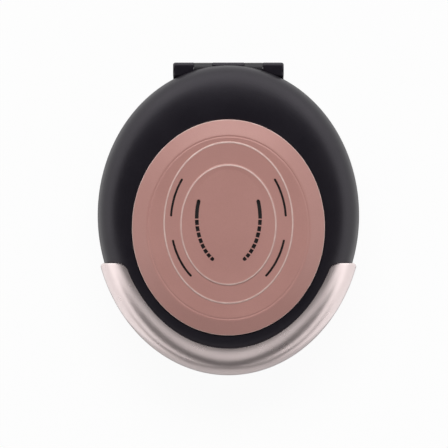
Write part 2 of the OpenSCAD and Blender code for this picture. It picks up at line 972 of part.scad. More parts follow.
module lid_shell() {
  bezel_top = lid_rim + deck_t + fit;
  bracket_top = bracket_low + bracket_t + fit;
  color(plastic_black)
    difference() {
      union() {
        ring_loft(concat(
          [at(shell, lid_rim), at(shell, lid_turn)],
          [for (t = lid_ts) lid_at(t)],
          [at(seat, seat_z), at(ledge, seat_z)],
          [for (t = lid_ins) lid_inside(t)],
          [at(grow(shell, -shell_wall), lid_turn), at(grow(shell, -shell_wall), lid_rim)]
        ), true);
        for (p = concat(post_spots(bezel_top), bracket_spots(bracket_top)))
          translate(p)
            cylinder(r = post_r, h = lid_middle_z(lid_share(p)) - p[2]);
      }
      lid_notch();
      at_each(post_spots(bezel_top - 1))
        cylinder(r = pilot_r, h = 14);
      at_each(bracket_spots(bracket_top - 1))
        cylinder(r = pilot_r, h = 14);
      at_each(panel_screw_spots(seat_z - shell_wall - 2))
        cylinder(r = clear_r, h = shell_wall + 4);
      handle_screw_holes(upper_screw_z, clear_r);
    }
}

lid_ins = [1, 0.8, 0.6, 0.4, 0.25, 0.12, 0.04];

// How far a place in plan lies on the way from the lid's edge to the panel's seat, found by halving
function lid_share(p, low = 0, high = 1, turns = 10) = let (
  mid = (low + high) / 2,
  oval = blend(shell, seat, mid),
  inside = pow(p[0] / oval[0], 2) + pow((p[1] - oval[2]) / oval[1], 2) < 1
) turns == 0 ? mid : lid_share(p, inside ? mid : low, inside ? high : mid, turns - 1);
function lid_middle_z(t) = (lid_inside(t)[3] + lid_at(t)[3]) / 2 - 1;

function bracket_spots(z) = [for (x = bracket_x) [x, bracket_screw_y, z]];
function panel_screw_spots(z) = [
  for (f = [0, 90, 180, 270])
    let (oval = grow(panel, 2.5 * fit - ledge_w / 2))
      [oval[0] * cos(f), oval[2] + oval[1] * sin(f), z]
];

// Pressed panel: outer band, crease, rim, ring, inner oval step and centre flat
edge_z = lid_flat + 0.8;
crease_z = edge_z + band_rise;
ring_z = crease_z + rim_rise;
step_z = ring_z + step_rise;
flat_z = step_z + flat_rise;

module top_panel() {
  groove = 0.3;
  top_rings = [
    at(panel, edge_z),
    at(blend(panel, crease, 0.18), edge_z + band_rise * 0.3),
    at(blend(panel, crease, 0.45), edge_z + band_rise * 0.66),
    at(blend(panel, crease, 0.72), edge_z + band_rise * 0.88),
    at(grow(crease, 0.7), crease_z),
    at(crease, crease_z - groove),
    at(grow(crease, -1), crease_z + 0.1),
    at(grow(rim_line, 1.6), ring_z - rim_rise * 0.55),
    at(rim_line, ring_z),
    at(grow(rim_line, -1.5), ring_z - 0.1),
    at(grow(inner_step, 0.6), ring_z),
    at(grow(inner_step, -2.4), step_z - 0.2),
    at(grow(inner_step, -3.9), step_z),
    at(grow(centre_flat, 0.8), step_z + 0.05),
    at(centre_flat, flat_z)
  ];
  under_rings = [
    at(grow(centre_flat, -1), flat_z - panel_t),
    at(grow(inner_step, -4), step_z - panel_t),
    at(grow(inner_step, -1), ring_z - panel_t),
    at(grow(rim_line, -1), ring_z - panel_t),
    at(grow(crease, -2), crease_z - panel_t),
    at(grow(ledge, 0.6), edge_z - panel_t + 1),
    at(grow(ledge, 0.6), seat_z),
    at(panel, seat_z)
  ];
  color(rose_metal)
    difference() {
      ring_loft(concat(under_rings, top_rings));
      arc_slots(slot_path, slot_w, slot_rear, seat_z, flat_z - seat_z + 1);
      arc_slots(slot_path, slot_w, slot_front, seat_z, flat_z - seat_z + 1);
      arc_slots(vent_path, vent_w, vent_span, seat_z, flat_z - seat_z + 1);
      at_each(panel_screw_spots(seat_z - 1))
        cylinder(r = pilot_r, h = 3);
    }
}

module panel_screws() {
  color(steel)
    at_each(panel_screw_spots(seat_z - shell_wall - 0.4))
      screw(shell_wall + 2);
}

// Dark grille under the panel; its ribs stand in the wide vents
module vent_grille() {
  plate_z = ring_z - panel_t - 1.9;
  plate_h = 1.5;
  rib_top = flat_z - 0.5;
  rib_len = vent_w - 2 * fit;
  color(plastic_black)
    union() {
      oval_plate(grow(rim_line, -4), plate_z, plate_h);
      oval_plate(grow(centre_flat, -2.4), plate_z, flat_z - panel_t - fit - plate_z);
      for (side = [0, 1])
        mirror([side, 0, 0])
          for (i = [1 : vent_ribs])
            let (
              f = vent_span[0] + (vent_span[1] - vent_span[0]) * (i - 0.5) / vent_ribs,
              turn = atan2(vent_path[0] * sin(f), vent_path[1] * cos(f))
            )
              translate(concat(slot_point(vent_path, f, 0), [plate_z]))
                rotate([0, 0, turn])
                  translate([-rib_len / 2, -rib_w / 2, 0])
                    cube([rib_len, rib_w, rib_top - plate_z]);
    }
}

module lid_bezel() {
  color(plastic_black)
    difference() {
      oval_plate(bezel, lid_rim, deck_t);
      translate([0, plate_y, lid_rim - low_cut])
        cylinder(r = deck_hole_r, h = deck_t + 2 * low_cut, $fn = 120);
      lid_notch();
      at_each(post_spots(lid_rim - low_cut)) {
        cylinder(r = clear_r, h = deck_t + 2 * low_cut);
        cylinder(r = head_r + fit, h = head_h + low_cut + 0.1);
      }
      upside_down()
        at_each(shield_spots(deck_under - 1))
          cylinder(r = pilot_r, h = deck_t);
    }
}

module bezel_screws() {
  color(steel)
    at_each(post_spots(lid_rim + head_h + 0.1))
      screw(case_screw_l);
}

// Plate inside the lid with two arms that end in the lid's barrels
module lid_hinge_bracket() {
  plate_x = bracket_x[3] + 6;
  arm_top = hinge_z + barrel_r;
  color(steel)
    difference() {
      union() {
        box(
          [-plate_x, bracket_screw_y - 8, bracket_low],
          [plate_x, notch_front - 1, bracket_low + bracket_t]
        );
        for (side = [0, 1])
          mirror([side, 0, 0]) {
            barrel(lid_barrel_x, lid_barrel_x + barrel_lid);
            box(
              [lid_barrel_x, notch_front - 10, bracket_low],
              [lid_barrel_x + barrel_lid, hinge_y, arm_top]
            );
          }
      }
      translate([-block_w / 2, hinge_y, hinge_z])
        rotate([0, 90, 0])
          cylinder(r = pin_r + pin_play, h = block_w);
      at_each(bracket_spots(bracket_low - 1)) {
        cylinder(r = clear_r, h = bracket_t + 2);
        cylinder(r = head_r + fit, h = head_h + 1.1);
      }
    }
}

module bracket_screws() {
  color(steel)
    at_each(bracket_spots(bracket_low + head_h + 0.1))
      screw(case_screw_l);
}

base_shell();
bottom_cover();
rubber_feet();
bottom_screws();
hinge_block();
hinge_pin();
hinge_caps();
lower_handle();
lower_handle_screws();
lower_plate();
lower_plate_screws();
lower_element();
lower_heat_shield();
lower_shield_screws();
thermostat();
thermal_fuse();
terminal_block();
cord_gland();
cord_clamp();
cord_clamp_screws();
lid_shell();
top_panel();
panel_screws();
vent_grille();
lid_bezel();
bezel_screws();
lid_hinge_bracket();
bracket_screws();
upper_handle();
upper_handle_screws();
upper_plate();
upper_plate_screws();
upper_element();
upper_heat_shield();
upper_shield_screws();
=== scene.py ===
# %% [markdown]
# # An electric krumkake iron
# A krumkake iron bakes thin patterned wafers between two round engraved plates. Two oval shells of black
# plastic hold the plates. They close on a hinge at the rear, a pressed rose-gold panel is let into the lid,
# and a silver-rose crescent handle reaches round the front of each half.
#
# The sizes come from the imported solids, which are loaded first and never moved. This lesson makes the outer
# pieces again as fine, smooth meshes, gives every piece its finish, and lights the iron as in a studio.

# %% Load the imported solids
import json
import math

import bmesh
import bpy
import numpy as np
from mathutils import Matrix, Vector


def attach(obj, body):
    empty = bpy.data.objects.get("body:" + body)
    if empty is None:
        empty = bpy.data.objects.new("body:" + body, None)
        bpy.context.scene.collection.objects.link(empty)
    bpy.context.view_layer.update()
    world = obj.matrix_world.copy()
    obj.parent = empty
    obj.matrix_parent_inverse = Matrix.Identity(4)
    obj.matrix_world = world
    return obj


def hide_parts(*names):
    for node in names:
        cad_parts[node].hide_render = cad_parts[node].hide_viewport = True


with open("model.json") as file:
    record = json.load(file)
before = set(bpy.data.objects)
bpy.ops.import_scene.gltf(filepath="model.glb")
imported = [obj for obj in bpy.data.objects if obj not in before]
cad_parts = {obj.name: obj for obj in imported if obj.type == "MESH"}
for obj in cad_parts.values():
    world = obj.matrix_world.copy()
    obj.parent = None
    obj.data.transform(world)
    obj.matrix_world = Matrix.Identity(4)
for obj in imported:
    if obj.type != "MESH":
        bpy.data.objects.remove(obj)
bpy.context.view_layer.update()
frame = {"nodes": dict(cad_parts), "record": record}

# %% [markdown]
# ## The iron's measures
# Every outline of this iron is an oval. One oval is written as its half width, its half depth and the place of
# its middle on the front-to-back line, in millimetres. A list of ovals with heights is then a whole moulding,
# which is far easier to change than a mesh of loose points.

# %% Ovals and heights in millimetres
MM = 0.001
STEPS = 256


def oval(width, depth, middle):
    return np.array([width / 2, depth / 2, middle])


def grow(ring, by):
    return ring + np.array([by, by] + [0] * (len(ring) - 2))


def at(ring, z):
    return np.append(ring, z)


def mix(first, second, share):
    return first + (second - first) * share


shell = oval(230, 263.8, 3.2)
base_foot = grow(shell, -15)
panel = oval(169, 189.2, -7.6)
seat = grow(panel, 0.5)
ledge = grow(seat, -8.5)
crease = oval(140.4, 159.6, -7.8)
rim_line = oval(112.6, 141, -3.5)
inner_step = oval(84.8, 106.4, -5.3)
centre_flat = oval(67, 90, -2)
slot_path = oval(100.6, 125, -2.5)
vent_path = oval(55.4, 84, 1)
handle_out = oval(236.8, 278.8, 1.9)
handle_in = oval(200.4, 261.2, 17)
plate_hole = np.array([86.5, 86.5, -4])
wall = 2.5

base_low, base_turn, deck_under, base_rim = 7, 38, 44, 46.5
lid_rim, lid_turn, lid_flat, seat_z = 47.7, 57.2, 84.2, 83.0
edge_z, crease_z, ring_z, step_z, flat_z = 85.5, 90.8, 91.3, 92.0, 91.65
hinge_y, hinge_z = 131, 50
hinge_room = (-49.3, 122.8), (49.3, 150), 58.4
block_half = 48.8
foot_places = [(x, y) for x in (-50, 50) for y in (89.2, -82.8)]
print("lid from", lid_rim, "to", flat_z, "mm")

# %% [markdown]
# ## Lofting an oval moulding
# A moulding is a wall of four-sided faces between oval rings. Curves with many points could be skinned by a
# modifier, but a loft in a few lines keeps each ring where the drawing has it, and the faces run evenly round.
# Real mouldings have no knife edges, so a corner of the profile can be rounded by a short curve.

# %% Mesh makers
def new_piece(name, points, faces, sharp=32):
    """A smooth-shaded object from points in millimetres."""
    mesh = bpy.data.meshes.new(name)
    mesh.from_pydata((np.asarray(points) * MM).tolist(), [], faces)
    mesh.shade_smooth()
    mesh.set_sharp_from_angle(angle=math.radians(sharp))
    piece = bpy.data.objects.new(name, mesh)
    bpy.context.scene.collection.objects.link(piece)
    return piece


def rounded(rings, radii, bends=6):
    """The profile with its corners rounded; radii has one radius for each ring, 0 for a ring that stays."""
    made = []
    for i, (ring, radius) in enumerate(zip(rings, radii)):
        if radius == 0:
            made.append(ring)
            continue
        ends = []
        for other in (rings[i - 1], rings[(i + 1) % len(rings)]):
            way = other - ring
            length = math.hypot(np.abs(way[:2]).mean(), way[3])
            ends.append(ring + way * min(radius / length, 0.48))
        for u in np.linspace(0, 1, bends):
            made.append(ends[0] * (1 - u) ** 2 + ring * 2 * u * (1 - u) + ends[1] * u * u)
    return made


def ring_points(ring, steps=STEPS):
    turn = np.linspace(0, 2 * math.pi, steps, endpoint=False)
    return np.stack([ring[0] * np.cos(turn), ring[2] + ring[1] * np.sin(turn), np.full(steps, ring[3])], 1)


def loft(name, rings, looped=False, steps=STEPS, sharp=32):
    """A wall through rings that run up the outside; looped joins the last ring to the first."""
    points = np.concatenate([ring_points(r, steps) for r in rings])
    count = len(rings)
    faces = []
    for j in range(count if looped else count - 1):
        q = (j + 1) % count
        for i in range(steps):
            k = (i + 1) % steps
            faces.append((j * steps + i, j * steps + k, q * steps + k, q * steps + i))
    if not looped:
        faces.append(tuple(range(steps - 1, -1, -1)))
        faces.append(tuple((count - 1) * steps + i for i in range(steps)))
    return new_piece(name, points, faces, sharp)


def prism(name, outline, low, high):
    """An upright block over a closed outline that runs anticlockwise."""
    n = len(outline)
    points = [(x, y, z) for z in (low, high) for x, y in outline]
    faces = [(i, (i + 1) % n, n + (i + 1) % n, n + i) for i in range(n)]
    faces += [tuple(range(n - 1, -1, -1)), tuple(range(n, 2 * n))]
    return new_piece(name, points, faces)


def block(name, low, high):
    outline = [(low[0], low[1]), (high[0], low[1]), (high[0], high[1]), (low[0], high[1])]
    return prism(name, outline, low[2], high[2])


def round_bar(name, x, y, radius, low, high, steps=40):
    turn = np.linspace(0, 2 * math.pi, steps, endpoint=False)
    return prism(name, [(x + radius * math.cos(t), y + radius * math.sin(t)) for t in turn], low, high)


# %% Cutting and finishing
def settle(piece, sharp=32):
    """Turns the piece with its modifiers into a plain mesh."""
    shown = piece.evaluated_get(bpy.context.evaluated_depsgraph_get())
    mesh = bpy.data.meshes.new_from_object(shown)
    piece.modifiers.clear()
    piece.data = mesh
    mesh.shade_smooth()
    mesh.set_sharp_from_angle(angle=math.radians(sharp))
    return piece


def carve(piece, tools, how="DIFFERENCE", sharp=32):
    """Cuts the tools out of the piece, or joins them to it, and throws them away."""
    for tool in tools:
        step = piece.modifiers.new("carve", "BOOLEAN")
        step.operation = how
        step.solver = "EXACT"
        step.object = tool
    settle(piece, sharp)
    for tool in tools:
        bpy.data.objects.remove(tool)
    return piece


def finish_piece(piece, body, slot, *nodes):
    """The piece rides on its body and stands for these solids."""
    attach(piece, body)
    if nodes:
        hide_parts(*nodes)
    print(piece.name, len(piece.data.polygons), "faces")
    return piece


# %% [markdown]
# ## The camera
# The photograph looks straight down from far away with a long lens, so the camera hangs six metres above the
# lid. A wide lens close by would show the shells' walls.

# %% Camera
lens_height = 6.055
camera_data = bpy.data.cameras.new("top_camera")
camera_data.lens = 548
camera_data.sensor_width = 36
camera_data.clip_end = 40
camera = bpy.data.objects.new("top_camera", camera_data)
camera.location = (-0.00387, -0.00453, lens_height)
bpy.context.scene.collection.objects.link(camera)
bpy.context.scene.camera = camera
print("camera at", tuple(round(x, 4) for x in camera.location))

# %% [markdown]
# ## The lid shell
# The lid is one black moulding: a short straight wall, a wide round shoulder and a recess that the panel lies
# in. The shoulder is a superellipse, a little squarer than a circle, so its light fades slowly towards the flat.
# Its rings are packed closely near the wall, where the surface turns fastest.

# %% Lid shell
shoulder_rise, inner_rise = lid_flat - lid_turn, 23.3


def dome(t, power=2.6):
    """How far a shoulder has risen at share t of its way in; 2 would be a circle."""
    return np.sqrt(1 - (1 - t) ** power)


def lid_ring(t):
    return at(mix(shell, seat, t), lid_turn + shoulder_rise * dome(t))


def lid_inner_ring(t):
    return at(mix(grow(shell, -wall), ledge, t), lid_turn + inner_rise * dome(t))


def cut_hinge_room(low):
    """A block that clears the lid's rear for the hinge, from this height up."""
    (left, front), (right, rear), top_z = hinge_room
    return block("hinge_room", (left, front, low), (right, rear, top_z))


shoulder = [lid_ring((i / 44) ** 2) for i in range(1, 44)]
inner_shoulder = [lid_inner_ring((i / 16) ** 2) for i in range(16, 0, -1)]
lid_rings = rounded(
    [at(grow(shell, -wall), lid_rim), at(shell, lid_rim), at(shell, lid_turn)],
    [0, 0.5, 0],
)
lid_rings += shoulder
lid_rings += rounded(
    [shoulder[-1], at(seat, lid_flat), at(seat, seat_z), at(ledge, seat_z), inner_shoulder[0]],
    [0, 0.5, 0.3, 0, 0],
)[1:]
lid_rings += inner_shoulder[1:] + [at(grow(shell, -wall), lid_turn)]
lid_shell = loft("lid_moulding", lid_rings, looped=True)
carve(lid_shell, [cut_hinge_room(lid_rim - 2)])
finish_piece(lid_shell, "lid", "black_plastic", "lid_shell")

# %% [markdown]
# ## The pressed panel
# The panel is a single pressing with four levels: a sloping band, a crease, a raised rim, and an oval step with
# a small flat in it. Every level is one or two rings, and the radius at each ring is what the light catches as a
# fine bright line. The slots follow ovals too, so their outlines come from the same few sizes.

# %% Rings that keep a flat flat
def guarded(rings, span=2.4, guard=0.5):
    """Adds a ring close to each end of a wide span, so that the flat between them shades as a flat."""
    made = [rings[0]]
    for first, second in zip(rings, rings[1:]):
        length = math.hypot(np.abs((second - first)[:2]).mean(), (second - first)[3])
        if length > span:
            made += [mix(first, second, guard / length), mix(first, second, 1 - guard / length)]
        made.append(second)
    return made


# %% Panel profile
under = [
    (grow(centre_flat, -1), flat_z - 2),
    (grow(inner_step, -4), step_z - 2),
    (grow(inner_step, -1), ring_z - 2),
    (grow(rim_line, -1), ring_z - 2),
    (grow(crease, -2), crease_z - 2),
    (grow(ledge, 0.6), edge_z - 1),
    (grow(ledge, 0.6), seat_z + 0.02),
    (panel, seat_z + 0.02),
]
top = [
    (panel, edge_z, 0.4),
    (grow(crease, 1.3), crease_z - 0.05, 1.6),
    (grow(crease, 0.2), crease_z - 0.4, 0.4),
    (grow(crease, -0.9), crease_z + 0.08, 0.5),
    (grow(rim_line, 0.9), crease_z + 0.15, 0.4),
    (grow(rim_line, -0.1), ring_z + 0.28, 0.5),
    (grow(rim_line, -1.3), ring_z, 0.5),
    (grow(inner_step, 0.3), ring_z, 0.4),
    (grow(inner_step, -1), step_z + 0.22, 0.5),
    (grow(inner_step, -2.4), step_z, 0.5),
    (grow(centre_flat, 0.4), flat_z + 0.02, 0.4),
    (grow(centre_flat, -0.4), flat_z, 0.3),
    (grow(centre_flat, -12), flat_z, 0),
]
panel_rings = [at(r, z) for r, z in under]
panel_rings += rounded([panel_rings[-1]] + [at(r, z) for r, z, _ in top], [0] + [radius for *_, radius in top])[1:]
top_panel = loft("pressed_panel", guarded(panel_rings))


# %% Panel slots
def slot_outline(path, width, first, last, side):
    """Outline of a slot of even width along an oval, with round ends; angles are in degrees."""
    turns = np.radians(np.linspace(first, last, 25))

    def spot(turn, out, along=0.0):
        n = np.array([path[1] * math.cos(turn), path[0] * math.sin(turn)])
        n /= np.linalg.norm(n)
        x = path[0] * math.cos(turn) + out * n[0] - along * n[1]
        return side * x, path[2] + path[1] * math.sin(turn) + out * n[1] + along * n[0]

    half = width / 2
    caps = np.radians(np.arange(15, 180, 15))
    outline = [spot(t, half) for t in turns]
    outline += [spot(turns[-1], half * math.cos(c), half * math.sin(c)) for c in caps]
    outline += [spot(t, -half) for t in turns[::-1]]
    outline += [spot(turns[0], -half * math.cos(c), -half * math.sin(c)) for c in caps]
    return outline if side > 0 else outline[::-1]


tools = []
for side in (1, -1):
    for path, width, first, last in ((slot_path, 1.9, 5, 36), (slot_path, 1.9, -49, -15.5),
                                     (vent_path, 3.2, -59.5, 20)):
        tools.append(prism("slot", slot_outline(path, width, first, last, side), seat_z, 99))
carve(top_panel, tools)

# %% [markdown]
# Paler lines on the crests of the beads and on the panel's edge are a painted highlight, standing in for the light
# that these fine edges catch. A shader could guess such edges from the mesh, but the guess also finds the slots' cut
# edges. The ovals are known, so the painted highlight is worked out from them and stored on the points, as an
# attribute that the finish reads later.


# %% Painted highlights on the crests
# Keeps a painted highlight mask on the points, as the edge_line attribute.
def store_painted_highlight(piece, painted_highlight):
    mark = piece.data.attributes.new("edge_line", "FLOAT", "POINT")
    mark.data.foreach_set("value", painted_highlight)


def mark_lines(piece, lines, lowest):
    """Stores a painted highlight mask: 1 on the crests, each given as an oval and a half width, and 0 away from them.
    """
    spots = np.array([v.co for v in piece.data.vertices]) / MM
    painted_highlight = np.zeros(len(spots))
    for ring, half in lines:
        across = np.hypot(spots[:, 0] / ring[0], (spots[:, 1] - ring[2]) / ring[1])
        away = np.abs(across - 1) * (ring[0] + ring[1]) / 2
        painted_highlight = np.maximum(painted_highlight, np.clip(1.5 - away / half, 0, 1))
    store_painted_highlight(piece, painted_highlight * (spots[:, 2] > lowest))


# Painted highlight lines on the panel's edge, the rim bead and the inner step.
mark_lines(top_panel, [(panel, 0.4), (grow(rim_line, -0.1), 0.6), (grow(inner_step, -1), 0.5)], edge_z - 0.8)
finish_piece(top_panel, "lid", "rose_metal", "top_panel")

# %% [markdown]
# ## The base shell
# The base is a bowl: a straight wall at the rim that curves in towards the feet, and a flat deck round the
# plate's opening. One closed loop of rings makes the outer wall, the deck and the inner wall together, so the
# moulding has its real thickness wherever the iron is opened or turned over.

# %% Base shell
def base_ring(turn, gap=0.0, lift=0.0):
    """Ring of the curved base wall; turn is 0 at its upper end and 60 degrees at its lower edge."""
    t = math.radians(turn)
    tuck = 15 * (1 - (1 - math.cos(t)) / (1 - math.cos(math.radians(60))))
    rise = math.sin(t) / math.sin(math.radians(60))
    return at(grow(base_foot, gap + tuck), base_turn - (base_turn - base_low) * rise + lift * turn / 60)


turns = np.linspace(60, 0, 19)
base_rings = [base_ring(60, -0.4)] + [base_ring(t) for t in turns]
base_rings += rounded(
    [base_rings[-1], at(shell, base_rim), at(plate_hole, base_rim), at(plate_hole, deck_under),
     at(grow(shell, -wall), deck_under), base_ring(0, -wall)],
    [0, 1.2, 0.4, 0.3, 0, 0],
)[1:]
base_rings += [base_ring(t, -wall, wall) for t in turns[::-1][1:]]
base_rings += [at(grow(base_foot, -wall), base_low)]
base_shell = loft("base_moulding", base_rings, looped=True)
carve(base_shell, [
    block("block_room", (-block_half, 101.8, 0), (block_half, 150, deck_under + 0.1)),
    block("barrel_room", (-block_half, 113.8, 0.2), (block_half, 150.2, 62)),
])
finish_piece(base_shell, "base", "black_plastic", "base_shell")

# %% [markdown]
# ## The crescent handles
# Each handle is a solid crescent that follows the shells' outline, and its top carries on the lid's shoulder. A
# sculpted mesh would do, but the crescent has exact rules: rows of ovals run from its outer face to its inner
# edge, each row stops where it meets the rounded end, and every height comes from the same dome. The rows are
# worked out for the end first and then carried all the way round.

# %% Crescent maker
def share(x, y, outer, inner):
    """Where places lie between two ovals, 0 on the outer and 1 on the inner one, found by halving."""
    low, high = np.full(np.shape(x), -0.3), np.full(np.shape(x), 1.5)
    for _ in range(36):
        middle = (low + high) / 2
        a, b, c = (outer[k] + (inner[k] - outer[k]) * middle for k in range(3))
        inside = (x / a) ** 2 + ((y - c) / b) ** 2 < 1
        low, high = np.where(inside, middle, low), np.where(inside, high, middle)
    return (low + high) / 2


def oval_x(ring, y):
    return ring[0] * math.sqrt(max(0.0, 1 - ((y - ring[2]) / ring[1]) ** 2))


def arc(x, y, radius, first, last, count):
    turn = np.radians(np.linspace(first, last, count))
    return [(x + radius * math.cos(t), y + radius * math.sin(t)) for t in turn]


end_y = -38.9
tip_radius, corner_radius = 3, 13
tip = (oval_x(handle_out, end_y - tip_radius) - 3.12, end_y - tip_radius)
shell_fit = grow(shell, 0.2)
tip_arc = arc(*tip, tip_radius, -15.7, 90, 10)
cross = (oval_x(shell_fit, end_y), end_y)


def crescent(name, inner, inner_end, skin, back, plane, face, columns=220):
    """A crescent solid. skin and back give heights at plan places, plane is the flat side next to the shells'
    rims, and face lists the outer wall's rows as inset and height."""
    spots = tip_arc + [cross] + inner_end
    split = len(tip_arc)
    rows = []
    for j, (x, y) in enumerate(spots):
        near, far = (handle_out, shell_fit) if j <= split else (shell_fit, inner)
        part = float(np.clip(share(x, y, near, far), 0, 1))
        part = 0.0 if j == 0 else 1.0 if j in (split, len(spots) - 1) else part
        ring = mix(near, far, part)
        rows.append((ring, math.atan2((y - ring[2]) / ring[1], x / ring[0])))
    s = np.linspace(-1, 1, columns)

    def row_points(ring, end, height):
        f = -math.pi / 2 + s * (math.pi / 2 + end)
        x, y = ring[0] * np.cos(f), ring[2] + ring[1] * np.sin(f)
        z = height(x, y) if callable(height) else np.full(columns, height)
        return np.stack([x, y, z], 1)

    bands = {"skin": [row_points(r, e, skin) for r, e in rows]}
    first_end = rows[0][1]
    bands["face"] = [row_points(grow(handle_out, -inset), first_end, z) for inset, z in face]
    bands["step"] = [row_points(*rows[split], plane)]
    bands["back"] = [row_points(r, e, back) for r, e in rows[split:]]
    low = [row_points(r, e, plane)[[0, -1]] for r, e in rows[1:split]]
    points, index = [], {}
    for key, items in bands.items():
        for j, item in enumerate(items):
            index[key, j] = len(points)
            points.extend(item)
    for j, item in enumerate(low):
        index["low", j + 1] = len(points)
        points.extend(item)

    def at_row(key, j, i):
        return index[key, j] + (i if key != "low" else (0 if i == 0 else 1))

    faces = []

    def strip(a, b):
        for i in range(columns - 1):
            faces.append((at_row(*a, i), at_row(*a, i + 1), at_row(*b, i + 1), at_row(*b, i)))

    last = len(rows) - 1
    for j in range(last):
        strip(("skin", j), ("skin", j + 1))
    chain = [("skin", 0)] + [("face", j) for j in range(len(face))]
    for a, b in zip(chain, chain[1:]):
        strip(b, a)
    strip(("skin", last), ("back", last - split))
    for j in range(last - split):
        strip(("back", j + 1), ("back", j))
    strip(("back", 0), ("step", 0))
    base = chain[-1]
    lows = [("low", j) for j in range(1, split)]
    for i in range(columns - 1):
        ring_face = [at_row("step", 0, i), at_row("step", 0, i + 1)]
        if i + 1 == columns - 1:
            ring_face += [at_row(*k, i + 1) for k in lows[::-1]]
        ring_face += [at_row(*base, i + 1), at_row(*base, i)]
        if i == 0:
            ring_face += [at_row(*k, 0) for k in lows]
        faces.append(tuple(ring_face))
    for i in (0, columns - 1):
        faces.append(tuple([at_row(*k, i) for k in chain[::-1]] + [at_row("skin", 1, i), at_row("low", 1, i)]))
        for j in range(1, split - 1):
            faces.append((at_row("low", j, i), at_row("skin", j, i),
                          at_row("skin", j + 1, i), at_row("low", j + 1, i)))
        faces.append(tuple([at_row("low", split - 1, i), at_row("skin", split - 1, i), at_row("skin", split, i),
                            at_row("back", 0, i), at_row("step", 0, i)]))
        for j in range(split, last):
            faces.append((at_row("back", j - split, i), at_row("skin", j, i), at_row("skin", j + 1, i),
                          at_row("back", j + 1 - split, i)))
    piece = new_piece(name, points, faces)
    work = bmesh.new()
    work.from_mesh(piece.data)
    bmesh.ops.recalc_face_normals(work, faces=work.faces)
    inner_row = set(range(index["skin", last], index["skin", last] + columns))
    soft = work.edges.layers.float.new("bevel_weight_edge")
    for line in work.edges:
        thin = all(v.index in inner_row for v in line.verts)
        line[soft] = float(not thin and line.calc_face_angle(0) > math.radians(40))
    work.to_mesh(piece.data)
    work.free()
    # Painted highlight along the handle's thin inner edge and at both ends of every row.
    painted_highlight = np.zeros(len(points))
    painted_highlight[list(inner_row)] = 1
    for j in range(last + 1):
        painted_highlight[[index["skin", j], index["skin", j] + columns - 1]] = 1
    store_painted_highlight(piece, painted_highlight)
    return piece


def soften(piece, width, segments=3):
    """Rounds the edges that the maker marked; the thin inner edge lies on the shell and stays as it is."""
    step = piece.modifiers.new("soft_edges", "BEVEL")
    step.width = width * MM
    step.segments = segments
    step.limit_method = "WEIGHT"
    step.use_clamp_overlap = True
    return settle(piece, 50)


# %% Upper handle
def handle_top(x, y):
    t = np.clip(share(x, y, handle_out, panel), 0, 1)
    return 59.1 + 27.1 * dome(t)


def lid_skin(x, y):
    t = np.clip(share(x, y, shell_fit, grow(seat, 0.2)), 0, 1)
    return lid_turn + shoulder_rise * dome(t) + 0.2


corner = (oval_x(handle_in, end_y - corner_radius) + corner_radius * 1.03, end_y - corner_radius)
straight = [(x, end_y) for x in np.linspace(cross[0], corner[0], 7)[1:-1]]
inner_arc = [p for p in arc(*corner, corner_radius, 90, 150, 15) if share(*p, shell_fit, handle_in) < 0.985]
last_angle = math.atan2(inner_arc[-1][1] - corner[1], inner_arc[-1][0] - corner[0]) + 0.06
inner_arc.append((corner[0] + corner_radius * math.cos(last_angle), corner[1] + corner_radius * math.sin(last_angle)))
upper_handle = crescent("upper_handle_grip", handle_in, straight + inner_arc, handle_top, lid_skin, 49.1,
                        [(0, 55), (0, 50.1), (0.3, 49.4), (1, 49.1)])
soften(upper_handle, 0.7)
finish_piece(upper_handle, "lid", "silver_rose", "upper_handle")


# %% Lower handle
def handle_under(x, y):
    t = np.clip(share(x, y, handle_out, grow(shell, -3)), 0, 1)
    return 35.1 - 15 * dome(t, 2)


def base_skin(x, y):
    k = np.clip(share(x, y, shell_fit, grow(shell, -14.8)), 0, 1) * 15
    return base_turn - 31 * np.sqrt(1 - (1 - k / 30) ** 2) / math.sin(math.radians(60))


lower_in = grow(shell, -3.7)
lower_end = [(x, end_y) for x in np.linspace(cross[0], oval_x(lower_in, end_y), 9)[1:]]
lower_handle = crescent("lower_handle_grip", lower_in, lower_end, handle_under, base_skin, 45.1,
                        [(0, 40), (0, 44.1), (0.3, 44.8), (1, 45.1)])
soften(lower_handle, 0.6)
finish_piece(lower_handle, "base", "silver_rose", "lower_handle")

# %% [markdown]
# ## The lid's bezel and the base's cover
# Two flat plates close the shells: the bezel round the upper baking plate and the cover under the feet. Both are
# short lofts with softened edges. Their slots and screw holes are cut afterwards, as a press tool would do.

# %% Bezel and bottom cover
post_places = [(side * r * math.cos(math.radians(a)), -4 + r * math.sin(math.radians(a)))
               for r, a in ((101, 50), (101, 290)) for side in (1, -1)]
cover_places = [(-25, 108), (25, 108)]
bezel = grow(shell, -2.7)
bezel_rings = rounded(
    [at(bezel, lid_rim), at(bezel, lid_rim + 2.5), at(plate_hole, lid_rim + 2.5), at(plate_hole, lid_rim)],
    [0.4, 0, 0, 0.4],
)
lid_bezel = loft("plate_bezel", bezel_rings, looped=True)
carve(lid_bezel, [cut_hinge_room(40)]
      + [round_bar("screw_room", x, y, 3.2, 46, 49.3) for x, y in post_places]
      + [round_bar("shank_room", x, y, 1.8, 49, 51) for x, y in post_places])
finish_piece(lid_bezel, "lid", "black_plastic", "lid_bezel")

cover = grow(base_foot, -2.7)
bottom_cover = loft("vented_cover", rounded(
    [at(grow(cover, -4), base_low), at(cover, base_low),
     at(cover, base_low + 2.5), at(grow(cover, -4), base_low + 2.5)],
    [0, 0.4, 0, 0]))
carve(bottom_cover, [block("slot", (-30, -13 - 9 * i, 5), (30, -10 - 9 * i, 12)) for i in range(7)]
      + [round_bar("shank_room", x, y, 1.8, 5, 12) for x, y in post_places + cover_places]
      + [round_bar("foot_room", x, y, 3.1, 5, 12) for x, y in foot_places])
finish_piece(bottom_cover, "base", "black_plastic", "bottom_cover")

# %% [markdown]
# ## Screws
# The cover and the bezel are held by the same cross-headed screw. A screw could be modelled once and copied by
# hand, but Geometry Nodes put one on every point of a small point mesh, and a change of the head then reaches
# all of them. The copies are made real at the end, since an export drops instances.

